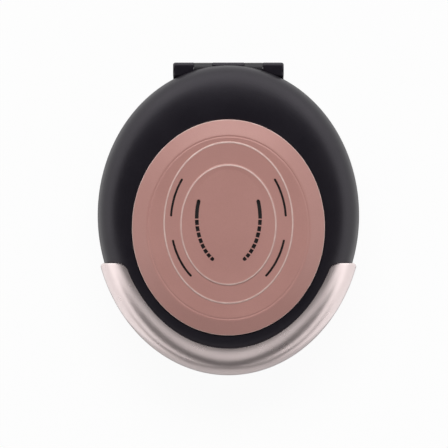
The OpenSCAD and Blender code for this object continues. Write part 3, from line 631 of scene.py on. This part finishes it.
# %% Geometry Nodes helpers
def new_tree(name, inputs):
    """An empty geometry tree with a geometry input and the given number inputs."""
    tree = bpy.data.node_groups.new(name, "GeometryNodeTree")
    tree.interface.new_socket("Geometry", in_out="INPUT", socket_type="NodeSocketGeometry")
    for label, value in inputs.items():
        kind = {int: "NodeSocketInt", float: "NodeSocketFloat"}.get(type(value), "NodeSocketMaterial")
        socket = tree.interface.new_socket(label, in_out="INPUT", socket_type=kind)
        if kind != "NodeSocketMaterial":
            socket.default_value = value
    tree.interface.new_socket("Geometry", in_out="OUTPUT", socket_type="NodeSocketGeometry")
    return tree, tree.nodes.new("NodeGroupInput"), tree.nodes.new("NodeGroupOutput")


def place(tree, kind, settings=None, **inputs):
    """A node with its settings; an input takes a value or another node's socket."""
    made = tree.nodes.new(kind)
    for key, value in (settings or {}).items():
        setattr(made, key, value)
    for key, value in inputs.items():
        socket = made.inputs[int(key[1:])] if key[0] == "_" else made.inputs[key.replace("_", " ")]
        if isinstance(value, bpy.types.NodeSocket):
            tree.links.new(value, socket)
        else:
            socket.default_value = value
    return made


def sum_of(tree, first, second, how="ADD"):
    return place(tree, "ShaderNodeMath", {"operation": how}, _0=first, _1=second).outputs[0]


def run_tree(piece, tree, values, sharp=32):
    """Gives the piece the tree with these values and settles it."""
    step = piece.modifiers.new("nodes", "NODES")
    step.node_group = tree
    names = {item.name: item.identifier for item in tree.interface.items_tree if item.in_out == "INPUT"}
    for label, value in values.items():
        step[names[label]] = value
    return settle(piece, sharp)


# %% Screw tree
screw_tree, given, result = new_tree("cross_headed_screws", {
    "Head radius": 0.003, "Head height": 0.0015, "Shank radius": 0.0015, "Shank length": 0.012,
    "Cross width": 0.0009, "Cross length": 0.0036, "Cross depth": 0.0009, "Finish": None})
put = given.outputs
head = place(screw_tree, "GeometryNodeMeshCone", {"fill_type": "NGON"}, Vertices=40, Side_Segments=1,
             Radius_Top=put["Head radius"], Radius_Bottom=sum_of(screw_tree, put["Head radius"], 0.8, "MULTIPLY"),
             Depth=put["Head height"])
head_low = sum_of(screw_tree, put["Head height"], -1.0, "MULTIPLY")
head_at = place(screw_tree, "ShaderNodeCombineXYZ", Z=head_low)
head_set = place(screw_tree, "GeometryNodeTransform", Geometry=head.outputs[0], Translation=head_at.outputs[0])
bars = []
for across in (True, False):
    size = place(screw_tree, "ShaderNodeCombineXYZ", X=put["Cross length" if across else "Cross width"],
                 Y=put["Cross width" if across else "Cross length"],
                 Z=sum_of(screw_tree, put["Cross depth"], 2.0, "MULTIPLY"))
    bar = place(screw_tree, "GeometryNodeMeshCube", Size=size.outputs[0])
    bars.append(place(screw_tree, "GeometryNodeTransform", Geometry=bar.outputs[0], Translation=head_at.outputs[0]))
cut = place(screw_tree, "GeometryNodeMeshBoolean", {"operation": "DIFFERENCE", "solver": "EXACT"})
screw_tree.links.new(head_set.outputs[0], cut.inputs[0])
for bar in bars:
    screw_tree.links.new(bar.outputs[0], cut.inputs[1])
shank = place(screw_tree, "GeometryNodeMeshCylinder", {"fill_type": "NGON"}, Vertices=24,
              Radius=put["Shank radius"], Depth=put["Shank length"])
shank_at = place(screw_tree, "ShaderNodeCombineXYZ", Z=sum_of(screw_tree, put["Shank length"], 0.5, "MULTIPLY"))
shank_set = place(screw_tree, "GeometryNodeTransform", Geometry=shank.outputs[0], Translation=shank_at.outputs[0])
whole = place(screw_tree, "GeometryNodeJoinGeometry")
for part in (cut.outputs[0], shank_set.outputs[0]):
    screw_tree.links.new(part, whole.inputs[0])
seeds = place(screw_tree, "FunctionNodeRandomValue", {"data_type": "FLOAT"}, _2=0.0, _3=1.5, Seed=7)
spin = place(screw_tree, "ShaderNodeCombineXYZ", Z=seeds.outputs[1])
copies = place(screw_tree, "GeometryNodeInstanceOnPoints", Points=put["Geometry"], Instance=whole.outputs[0],
               Rotation=spin.outputs[0])
real = place(screw_tree, "GeometryNodeRealizeInstances", Geometry=copies.outputs[0])
painted = place(screw_tree, "GeometryNodeSetMaterial", Geometry=real.outputs[0], Material=put["Finish"])
screw_tree.links.new(painted.outputs[0], result.inputs[0])
print("screw tree:", len(screw_tree.nodes), "nodes")

# %% Screws on the cover and the bezel
def screw_row(name, places, z):
    return new_piece(name, [(x, y, z) for x, y in places], [])


cover_screws = screw_row("cover_screws", post_places + cover_places, base_low)
bezel_screws = screw_row("bezel_cross_screws", post_places, lid_rim + 1.6)

# %% [markdown]
# ## The vent grille
# Under the two wide vents lies a dark plate, and thin ribs cross the front half of each vent. The ribs follow the
# vents' oval and turn with it, so a small tree works out every rib's place and angle from its number. Placing
# sixteen bars by hand would give the same picture once, but not for another number of ribs.

# %% Rib tree
rib_tree, given, result = new_tree("ribs_along_oval", {
    "Ribs": 8, "Half width": 0.0277, "Half depth": 0.042, "Middle": 0.001, "First angle": -59.5, "Last angle": 2.0,
    "Rib length": 0.0036, "Rib width": 0.0011, "Low": 0.0895, "High": 0.0914, "Finish": None})
put = given.outputs
number = place(rib_tree, "GeometryNodeInputIndex").outputs[0]
left = sum_of(rib_tree, number, sum_of(rib_tree, put["Ribs"], 0.5, "SUBTRACT"), "GREATER_THAN")
own = sum_of(rib_tree, number, sum_of(rib_tree, left, put["Ribs"], "MULTIPLY"), "SUBTRACT")
part = sum_of(rib_tree, sum_of(rib_tree, own, 0.5), put["Ribs"], "DIVIDE")
span = sum_of(rib_tree, put["Last angle"], put["First angle"], "SUBTRACT")
angle = sum_of(rib_tree, put["First angle"], sum_of(rib_tree, span, part, "MULTIPLY"))
turn = place(rib_tree, "ShaderNodeMath", {"operation": "RADIANS"}, _0=angle).outputs[0]
cosine = place(rib_tree, "ShaderNodeMath", {"operation": "COSINE"}, _0=turn).outputs[0]
sine = place(rib_tree, "ShaderNodeMath", {"operation": "SINE"}, _0=turn).outputs[0]
sign = sum_of(rib_tree, 1.0, sum_of(rib_tree, left, 2.0, "MULTIPLY"), "SUBTRACT")
x = sum_of(rib_tree, sum_of(rib_tree, put["Half width"], cosine, "MULTIPLY"), sign, "MULTIPLY")
y = sum_of(rib_tree, sum_of(rib_tree, put["Half depth"], sine, "MULTIPLY"), put["Middle"])
z = sum_of(rib_tree, sum_of(rib_tree, put["Low"], put["High"]), 0.5, "MULTIPLY")
lean = sum_of(rib_tree, sum_of(rib_tree, put["Half width"], sine, "MULTIPLY"),
              sum_of(rib_tree, put["Half depth"], cosine, "MULTIPLY"), "ARCTAN2")
spin = place(rib_tree, "ShaderNodeCombineXYZ", Z=sum_of(rib_tree, lean, sign, "MULTIPLY"))
spots = place(rib_tree, "GeometryNodePoints", Count=place(
    rib_tree, "ShaderNodeMath", {"operation": "MULTIPLY"}, _0=put["Ribs"], _1=2.0).outputs[0],
    Position=place(rib_tree, "ShaderNodeCombineXYZ", X=x, Y=y, Z=z).outputs[0])
rib_size = place(rib_tree, "ShaderNodeCombineXYZ", X=put["Rib length"], Y=put["Rib width"],
                 Z=sum_of(rib_tree, put["High"], put["Low"], "SUBTRACT"))
rib = place(rib_tree, "GeometryNodeMeshCube", Size=rib_size.outputs[0])
copies = place(rib_tree, "GeometryNodeInstanceOnPoints", Points=spots.outputs[0], Instance=rib.outputs[0],
               Rotation=spin.outputs[0])
real = place(rib_tree, "GeometryNodeRealizeInstances", Geometry=copies.outputs[0])
painted = place(rib_tree, "GeometryNodeSetMaterial", Geometry=real.outputs[0], Material=put["Finish"])
rib_tree.links.new(painted.outputs[0], result.inputs[0])
print("rib tree:", len(rib_tree.nodes), "nodes")

# %% Grille plate
grille_low = ring_z - 3.9
grille = loft("vent_grille_plate", rounded(
    [at(grow(rim_line, -4), grille_low), at(grow(rim_line, -3), grille_low), at(grow(rim_line, -3), grille_low + 1.5),
     at(grow(centre_flat, -2.4), grille_low + 1.5), at(grow(centre_flat, -2.4), flat_z - 2.2),
     at(grow(centre_flat, -5), flat_z - 2.2)],
    [0, 0.3, 0.3, 0.2, 0.3, 0]))

# %% [markdown]
# ## The hinge covers
# From above the hinge shows as one squared block, because covers close over the base's barrels. They could be
# boxes with a bevel, but their corners have to stay inside the room that the lid leaves them. So the section is a
# square with wide round corners, and the last few sections shrink to round the outer ends. A hole along the hinge
# line leaves room for the end caps.

# %% Hinge covers
def squared_section(half, radius, share_left):
    """Outline of the cover round the hinge line, shrunk to share_left of its size."""
    flat = half - radius
    outline = []
    for y, z, first in ((flat, flat, 0), (-flat, flat, 90), (-flat, -flat, 180), (flat, -flat, 270)):
        outline += arc(y, z, radius, first, first + 90, 8)
    return [(hinge_y + y * share_left, hinge_z + z * share_left) for y, z in outline]


def hinge_cover(name, spans, half=6.6, radius=3.4):
    """Covers along X from sections, each at its place and share of the full size."""
    points, faces = [], []
    n = len(squared_section(half, radius, 1.0))
    for sections in spans:
        first = len(points)
        for x, share_left in sections:
            points += [(x, y, z) for y, z in squared_section(half, radius, share_left)]
        for j in range(len(sections) - 1):
            for i in range(n):
                k = (i + 1) % n
                faces.append(tuple(first + v for v in (j * n + i, j * n + k, (j + 1) * n + k, (j + 1) * n + i)))
        faces.append(tuple(first + i for i in range(n - 1, -1, -1)))
        faces.append(tuple(first + (len(sections) - 1) * n + i for i in range(n)))
    return new_piece(name, points, faces, 50)


outer_end = [(30.8, 1.0), (46.4, 1.0), (47.2, 0.985), (47.9, 0.94), (48.4, 0.87), (48.7, 0.76)]
hinge_covers = hinge_cover("hinge_covers", [
    outer_end, [(-13.7, 1.0), (13.7, 1.0)], [(-x, share_left) for x, share_left in outer_end[::-1]]])
cap_room = round_bar("cap_room", 0, 0, 4.05, -52, 52)
cap_room.data.transform(Matrix.Rotation(math.radians(90), 4, "Y"))
cap_room.data.transform(Matrix.Translation(Vector((0, hinge_y, hinge_z)) * MM))
carve(hinge_covers, [cap_room], sharp=50)
finish_piece(hinge_covers, "base", "black_plastic")

# %% [markdown]
# ## Shared surface effects
# Three effects come back in the finishes of this iron: a fine grain from the mould or the powder, slow clouds of
# tone and gloss, and paler edges, which are a painted highlight. Each is built once as a shader group with its own
# inputs. The groups put out only masks and heights, and each material keeps its own shader. They read object
# coordinates, so a pattern stays on its piece when the lid opens, and the painted highlight comes from the attribute
# stored on the points.

# %% Shader group helpers
def new_group(name, inputs, outputs):
    tree = bpy.data.node_groups.new(name, "ShaderNodeTree")
    for label, value in inputs.items():
        tree.interface.new_socket(label, in_out="INPUT", socket_type="NodeSocketFloat").default_value = value
    for label in outputs:
        tree.interface.new_socket(label, in_out="OUTPUT", socket_type="NodeSocketFloat")
    return tree, tree.nodes.new("NodeGroupInput").outputs, tree.nodes.new("NodeGroupOutput").inputs


def object_place(tree, streak=None):
    """Object coordinates, squeezed along X by streak so that a noise draws out into lines."""
    spot = tree.nodes.new("ShaderNodeTexCoord").outputs["Object"]
    if streak is None:
        return spot
    scale = place(tree, "ShaderNodeCombineXYZ", X=streak, Y=1.0, Z=1.0)
    return place(tree, "ShaderNodeVectorMath", {"operation": "MULTIPLY"}, _0=spot, _1=scale.outputs[0]).outputs[0]


def per_size(tree, size):
    """A texture scale from a size in millimetres."""
    return sum_of(tree, 1000.0, size, "DIVIDE")


# %% Grain, clouds and painted edge highlights
grain_group, given, put = new_group("moulded_grain", {"Size": 0.5, "Streak": 1.0, "Sharpness": 0.5},
                                    ("Height", "Tone"))
spot = object_place(grain_group, given["Streak"])
fine = place(grain_group, "ShaderNodeTexNoise", Vector=spot, Scale=per_size(grain_group, given["Size"]),
             Detail=3.0, Roughness=given["Sharpness"]).outputs[0]
pits = place(grain_group, "ShaderNodeTexVoronoi", {"feature": "SMOOTH_F1"}, Vector=spot,
             Scale=per_size(grain_group, sum_of(grain_group, given["Size"], 1.7, "MULTIPLY"))).outputs[0]
height = sum_of(grain_group, sum_of(grain_group, fine, 0.7, "MULTIPLY"), sum_of(grain_group, pits, 0.3, "MULTIPLY"))
grain_group.links.new(height, put["Height"])
tone = place(grain_group, "ShaderNodeMapRange", _0=fine, _1=0.3, _2=0.7).outputs[0]
grain_group.links.new(tone, put["Tone"])

cloud_group, given, put = new_group("slow_clouds", {"Size": 40.0, "Low": 0.0, "High": 1.0}, ("Value",))
clouds = place(cloud_group, "ShaderNodeTexNoise", Vector=object_place(cloud_group),
               Scale=per_size(cloud_group, given["Size"]), Detail=4.0, Roughness=0.55).outputs[0]
value = place(cloud_group, "ShaderNodeMapRange", _0=clouds, _1=0.32, _2=0.68, _3=given["Low"], _4=given["High"])
cloud_group.links.new(value.outputs[0], put["Value"])

# A painted highlight mask: the stored edge_line, made patchy by a noise.
highlight_group, given, put = new_group("painted_edge_highlights", {"Patch size": 6.0, "Least": 0.6}, ("Mask",))
edge = place(highlight_group, "ShaderNodeAttribute", {"attribute_name": "edge_line"}).outputs["Fac"]
patch = place(highlight_group, "ShaderNodeTexNoise", Vector=object_place(highlight_group),
              Scale=per_size(highlight_group, given["Patch size"]), Detail=5.0).outputs[0]
patch = place(highlight_group, "ShaderNodeMapRange", _0=patch, _1=0.35, _2=0.65, _3=given["Least"], _4=1.0).outputs[0]
highlight_group.links.new(sum_of(highlight_group, edge, patch, "MULTIPLY"), put["Mask"])
print("shader groups:", [g.name for g in bpy.data.node_groups if g.bl_idname == "ShaderNodeTree"])

# %% [markdown]
# ## The finishes
# The shells are satin black plastic with a fine grain, and their shine has a hint of violet. The panel is a
# rose-gold lacquer, which is mostly a warm matt colour under a clear shine. The handles carry a brighter, metallic
# lacquer with the soft waves of a sprayed coat. Inside are a dark non-stick coating, plated screws, aluminised
# sheet, ceramic and rubber. One maker builds them all, because they differ in values and not in kind.

# %% Finish maker
def use_group(tree, group, **inputs):
    made = tree.nodes.new("ShaderNodeGroup")
    made.node_tree = group
    for key, value in inputs.items():
        made.inputs[key.replace("_", " ")].default_value = value
    return made.outputs


def blend_colours(tree, factor, first, second):
    """Mixes two colours; each is a colour or a socket."""
    made = tree.nodes.new("ShaderNodeMix")
    made.data_type = "RGBA"
    for index, value in ((0, factor), (6, first), (7, second)):
        if isinstance(value, bpy.types.NodeSocket):
            tree.links.new(value, made.inputs[index])
        else:
            made.inputs[index].default_value = value if index == 0 else (*value, 1)
    return made.outputs[2]


def make_finish(name, deep, pale, rough, metal=0.0, grain=0.5, bump=0.1, streak=1.0, cloud=40.0, grain_tone=0.4,
                painted_highlight=None, bend=1.5, sheen_tint=(1, 1, 1)):
    """A finish between two colours and two roughnesses, with grain and clouds. bend is the index of refraction, and
    the edge colour, where it is given, is the colour of a painted highlight on the edges."""
    finish = bpy.data.materials.new(name)
    finish.use_nodes = True
    tree = finish.node_tree
    shader = tree.nodes["Principled BSDF"]
    shader.inputs["Metallic"].default_value = metal
    shader.inputs["IOR"].default_value = bend
    shader.inputs["Specular Tint"].default_value = (*sheen_tint, 1)
    fine = use_group(tree, grain_group, Size=grain, Streak=streak)
    slow = use_group(tree, cloud_group, Size=cloud)
    share = sum_of(tree, sum_of(tree, fine["Tone"], grain_tone, "MULTIPLY"),
                   sum_of(tree, slow["Value"], 1 - grain_tone, "MULTIPLY"))
    colour = blend_colours(tree, share, deep, pale)
    gloss = use_group(tree, cloud_group, Size=cloud * 0.4, Low=rough[0], High=rough[1])["Value"]
    # Painted highlight on the edges: a paler colour and a little less roughness.
    if painted_highlight is not None:
        mask = use_group(tree, highlight_group)["Mask"]
        colour = blend_colours(tree, mask, colour, painted_highlight)
        gloss = sum_of(tree, gloss, sum_of(tree, mask, 0.08, "MULTIPLY"), "SUBTRACT")
    tree.links.new(colour, shader.inputs["Base Color"])
    tree.links.new(gloss, shader.inputs["Roughness"])
    dents = place(tree, "ShaderNodeBump", Strength=bump, Distance=0.0002, Height=fine["Height"])
    tree.links.new(dents.outputs[0], shader.inputs["Normal"])
    return finish


# %% Finishes by material slot
finishes = {
    "black_plastic": make_finish("satin_black_plastic", (0.0075, 0.0062, 0.0092), (0.012, 0.0103, 0.0152),
                                 (0.34, 0.4), grain=0.95, bump=0.3, cloud=60, grain_tone=0.75, sheen_tint=(0.98, 0.93, 1.0)),
    # The two lacquers carry a paler colour for their painted edge highlights.
    "rose_metal": make_finish("rose_gold_lacquer", (0.47, 0.235, 0.207), (0.54, 0.275, 0.243), (0.36, 0.42),
                              bend=1.65, grain=0.8, bump=0.09, cloud=80, grain_tone=0.4, painted_highlight=(0.76, 0.58, 0.53)),
    "silver_rose": make_finish("silver_rose_lacquer", (0.81, 0.69, 0.68), (0.87, 0.75, 0.74), (0.27, 0.31),
                               metal=0.92, grain=2.5, bump=0.03, cloud=50, grain_tone=0.15, painted_highlight=(0.97, 0.88, 0.87)),
    "cast_plate": make_finish("dark_non_stick", (0.018, 0.018, 0.02), (0.034, 0.033, 0.036), (0.34, 0.46), metal=0.15,
                              grain=0.7, bump=0.3, cloud=25, grain_tone=0.5),
    "screw_steel": make_finish("zinc_plated_steel", (0.4, 0.4, 0.42), (0.56, 0.56, 0.58), (0.28, 0.4), metal=1.0,
                               grain=0.25, bump=0.1, cloud=3),
    "bracket_steel": make_finish("black_powder_coat", (0.01, 0.0095, 0.0115), (0.017, 0.016, 0.019), (0.34, 0.4),
                                 grain=0.6, bump=0.2, cloud=15),
    "element_steel": make_finish("dull_tube_steel", (0.16, 0.14, 0.12), (0.36, 0.33, 0.29), (0.4, 0.55), metal=1.0,
                                 grain=0.4, bump=0.2, cloud=8),
    "shield_steel": make_finish("aluminised_sheet", (0.5, 0.5, 0.51), (0.64, 0.64, 0.65), (0.3, 0.42), metal=1.0,
                                grain=0.5, bump=0.08, streak=0.06, cloud=30),
    "ceramic": make_finish("unglazed_ceramic", (0.7, 0.67, 0.6), (0.82, 0.8, 0.74), (0.6, 0.75), grain=0.3, bump=0.2,
                           cloud=6),
    "grille_plastic": make_finish("matt_dark_plastic", (0.012, 0.011, 0.012), (0.022, 0.02, 0.021), (0.5, 0.6),
                                  grain=0.4, bump=0.2, cloud=12),
    "rubber": make_finish("matt_black_rubber", (0.012, 0.012, 0.012), (0.024, 0.024, 0.024), (0.7, 0.82), grain=0.35,
                          bump=0.3, cloud=8),
}
print(len(finishes), "finishes")

# %% [markdown]
# ## Dressing the pieces
# The new pieces take the finish of their slot. Every solid that still shows takes the finish that the record
# gives its slot, so nothing is left in plain grey.

# %% Give the finishes to new pieces and solids
def coat_piece(piece, slot):
    piece.data.materials.clear()
    piece.data.materials.append(finishes[slot])


coats = {"black_plastic": (lid_shell, base_shell, lid_bezel, bottom_cover, hinge_covers),
         "rose_metal": (top_panel,), "silver_rose": (upper_handle, lower_handle), "grille_plastic": (grille,)}
for slot, pieces in coats.items():
    for piece in pieces:
        coat_piece(piece, slot)
finish_piece(grille, "lid", "grille_plastic", "vent_grille")
vent_ribs = new_piece("vent_ribs", [(0, 0, 0)], [])
run_tree(vent_ribs, rib_tree, {"Finish": finishes["rose_metal"]})
finish_piece(vent_ribs, "lid", "rose_metal")
run_tree(cover_screws, screw_tree, {"Finish": finishes["screw_steel"]})
finish_piece(cover_screws, "base", "screw_steel", "bottom_screws")
run_tree(bezel_screws, screw_tree, {"Finish": finishes["screw_steel"]})
finish_piece(bezel_screws, "lid", "screw_steel", "bezel_screws")

for part in frame["record"]["subparts"]:
    solid = frame["nodes"][part["node"]]
    if not solid.hide_render:
        for place_in_mesh in solid.material_slots:
            place_in_mesh.material = finishes[part["material_slot"]]
        if not solid.material_slots:
            solid.data.materials.append(finishes[part["material_slot"]])
print("dressed solids:", sum(not solid.hide_render for solid in frame["nodes"].values()))

# %% [markdown]
# ## Floor and light
# The photograph is a cut-out on white, lit by broad soft boxes behind the iron and in front of it. The floor and
# the sky look white to the camera and in reflections, but add little light to the object. The floor's other share
# is plain matt paint, so it keeps the iron's shadow.

# %% Floor and sky
def white_to_the_eye(tree, share):
    """A factor that is share for camera, mirror and glass rays, and 0 for the light that falls on things."""
    rays = tree.nodes.new("ShaderNodeLightPath").outputs
    seen = sum_of(tree, sum_of(tree, rays["Is Camera Ray"], rays["Is Glossy Ray"], "MAXIMUM"),
                  rays["Is Transmission Ray"], "MAXIMUM")
    return sum_of(tree, seen, share, "MULTIPLY")


def flat_piece(name, half, z, material):
    mesh = bpy.data.meshes.new(name)
    mesh.from_pydata([(-half, -half, z), (half, -half, z), (half, half, z), (-half, half, z)], [], [(0, 1, 2, 3)])
    made = bpy.data.objects.new(name, mesh)
    bpy.context.scene.collection.objects.link(made)
    mesh.materials.append(material)


floor_paint = bpy.data.materials.new("pale_floor")
floor_paint.use_nodes = True
tree = floor_paint.node_tree
tree.nodes.clear()
out = tree.nodes.new("ShaderNodeOutputMaterial")
matt = place(tree, "ShaderNodeBsdfDiffuse", Color=(0.8, 0.8, 0.8, 1))
glow = place(tree, "ShaderNodeEmission", Color=(1, 1, 1, 1), Strength=1.0)
both = place(tree, "ShaderNodeMixShader", _0=white_to_the_eye(tree, 0.95), _1=matt.outputs[0], _2=glow.outputs[0])
tree.links.new(both.outputs[0], out.inputs["Surface"])
flat_piece("floor", 30, 0, floor_paint)

sky = bpy.data.worlds.new("soft_sky")
bpy.context.scene.world = sky
sky.use_nodes = True
tree = sky.node_tree
tree.nodes.clear()
out = tree.nodes.new("ShaderNodeOutputWorld")
dim = place(tree, "ShaderNodeBackground", Color=(1, 1, 1, 1), Strength=0.12)
white = place(tree, "ShaderNodeBackground", Color=(1, 1, 1, 1), Strength=1.0)
both = place(tree, "ShaderNodeMixShader", _0=white_to_the_eye(tree, 1.0), _1=dim.outputs[0], _2=white.outputs[0])
tree.links.new(both.outputs[0], out.inputs["Surface"])

# %% [markdown]
# ## What the iron mirrors
# Black plastic and metallic lacquer show little of the light that falls on them, and nearly all of what they
# mirror. So the two are kept apart here: curved cards that only mirror rays see draw the bright shoulder of the lid
# and the bands of the handle, and lamps that mirror rays don't see light the lacquered panel. Lamps alone could do
# both jobs, but moving one for the panel would then move every highlight as well. Overhead it is dark, so that the
# flat black parts stay deep, behind it is brightest, and a narrow dark flag in front makes the handle's dark band.


# %% Cards for the reflections
card_distance = 9


def glow_paint(name, glow):
    paint = bpy.data.materials.new(name + "_paint")
    paint.use_nodes = True
    paint.node_tree.nodes.clear()
    light = place(paint.node_tree, "ShaderNodeEmission", Color=(1, 1, 1, 1), Strength=glow)
    out = paint.node_tree.nodes.new("ShaderNodeOutputMaterial")
    paint.node_tree.links.new(light.outputs[0], out.inputs["Surface"])
    return paint


def sky_card(name, turns, low, high, glow):
    """A curved card that only reflections see. turns runs in degrees from +X through +Y; low and high are its
    edges in degrees from overhead, each a number or a function of the turn."""
    rows, points = 12, []
    for turn in turns:
        for share_down in np.linspace(0, 1, rows):
            ends = [edge(turn) if callable(edge) else edge for edge in (low, high)]
            tilt = math.radians(mix(ends[0], ends[1], share_down))
            out, up = card_distance * math.sin(tilt), card_distance * math.cos(tilt)
            points.append((out * math.cos(math.radians(turn)), out * math.sin(math.radians(turn)), up))
    faces = [(i * rows + j, i * rows + j + 1, (i + 1) * rows + j + 1, (i + 1) * rows + j)
             for i in range(len(turns) - 1) for j in range(rows - 1)]
    mesh = bpy.data.meshes.new(name)
    mesh.from_pydata(points, [], faces)
    mesh.materials.append(glow_paint(name, glow))
    card = bpy.data.objects.new(name, mesh)
    bpy.context.scene.collection.objects.link(card)
    card.visible_camera = card.visible_diffuse = card.visible_shadow = False


def by_turn(turns, tilts):
    """An edge that runs through these tilts at these turns."""
    return lambda turn: float(np.interp(turn % 360, turns, tilts))


shade_edge = by_turn([0, 90, 180, 205, 222, 270, 318, 335, 360], [50, 45, 56, 34, 18, 32, 18, 34, 50])
flag_start = by_turn([0, 205, 222, 270, 318, 335], [60, 60, 40, 63, 40, 60])
flag_end = by_turn([0, 205, 222, 270, 318, 335], [66, 66, 70, 90, 70, 66])
sky_card("overhead_shade", range(0, 361, 5), 0.0, shade_edge, 0.0)
front_turns = range(205, 336, 5)
sky_card("front_glow", front_turns, shade_edge, flag_start, 0.68)
sky_card("front_flag", front_turns, flag_start, flag_end, 0.06)
sky_card("rear_glow", range(40, 141, 5), 56.0, 89.0, 1.7)
sky_card("right_glow", range(-25, 41, 5), shade_edge, 89.0, 1.35)
sky_card("left_glow", range(140, 206, 5), shade_edge, 89.0, 1.35)


# %% Painted floor shadow for the handle's lower edge
def reflected_floor_shadow(name, half_x, half_y, middle, z, glow):
    """An oval of painted shadow on the floor, in millimetres, that darkens only what the iron's lower edges mirror.
    """
    outline = np.array([half_x, half_y, middle])
    shadow_sheet = loft(name, [at(outline, z), at(outline, z + 0.2)], steps=64)
    shadow_sheet.data.materials.append(glow_paint(name, glow))
    shadow_sheet.visible_camera = shadow_sheet.visible_diffuse = shadow_sheet.visible_shadow = False


# Painted shadow seen only in reflections: the floor darker far in front, in front of the handle, and round the iron's
# foot.
reflected_floor_shadow("far_floor_shade", 2600, 4200, -4500, 0.3, 0.2)
reflected_floor_shadow("front_floor_shadow", 130, 210, -200, 0.6, 0.55)
reflected_floor_shadow("contact_floor_shadow", 142, 165, 0, 0.9, 0.2)


# %% Lamps
def soft_box(name, place_at, wide, high, power, target=(0, 0, 0.05)):
    """A soft lamp that lights things but isn't mirrored by them."""
    data = bpy.data.lights.new(name, "AREA")
    data.shape = "RECTANGLE"
    data.size, data.size_y, data.energy = wide, high, power
    lamp = bpy.data.objects.new(name, data)
    lamp.location = place_at
    lamp.rotation_euler = (Vector(place_at) - Vector(target)).to_track_quat("Z", "Y").to_euler()
    lamp.visible_glossy = False
    bpy.context.scene.collection.objects.link(lamp)


soft_box("rear_box", (0, 3.5, 4.9), 5.2, 2.8, 335)
soft_box("front_box", (0, -4.8, 3.8), 4.0, 2.0, 8)
bpy.context.scene.view_settings.view_transform = "Standard"
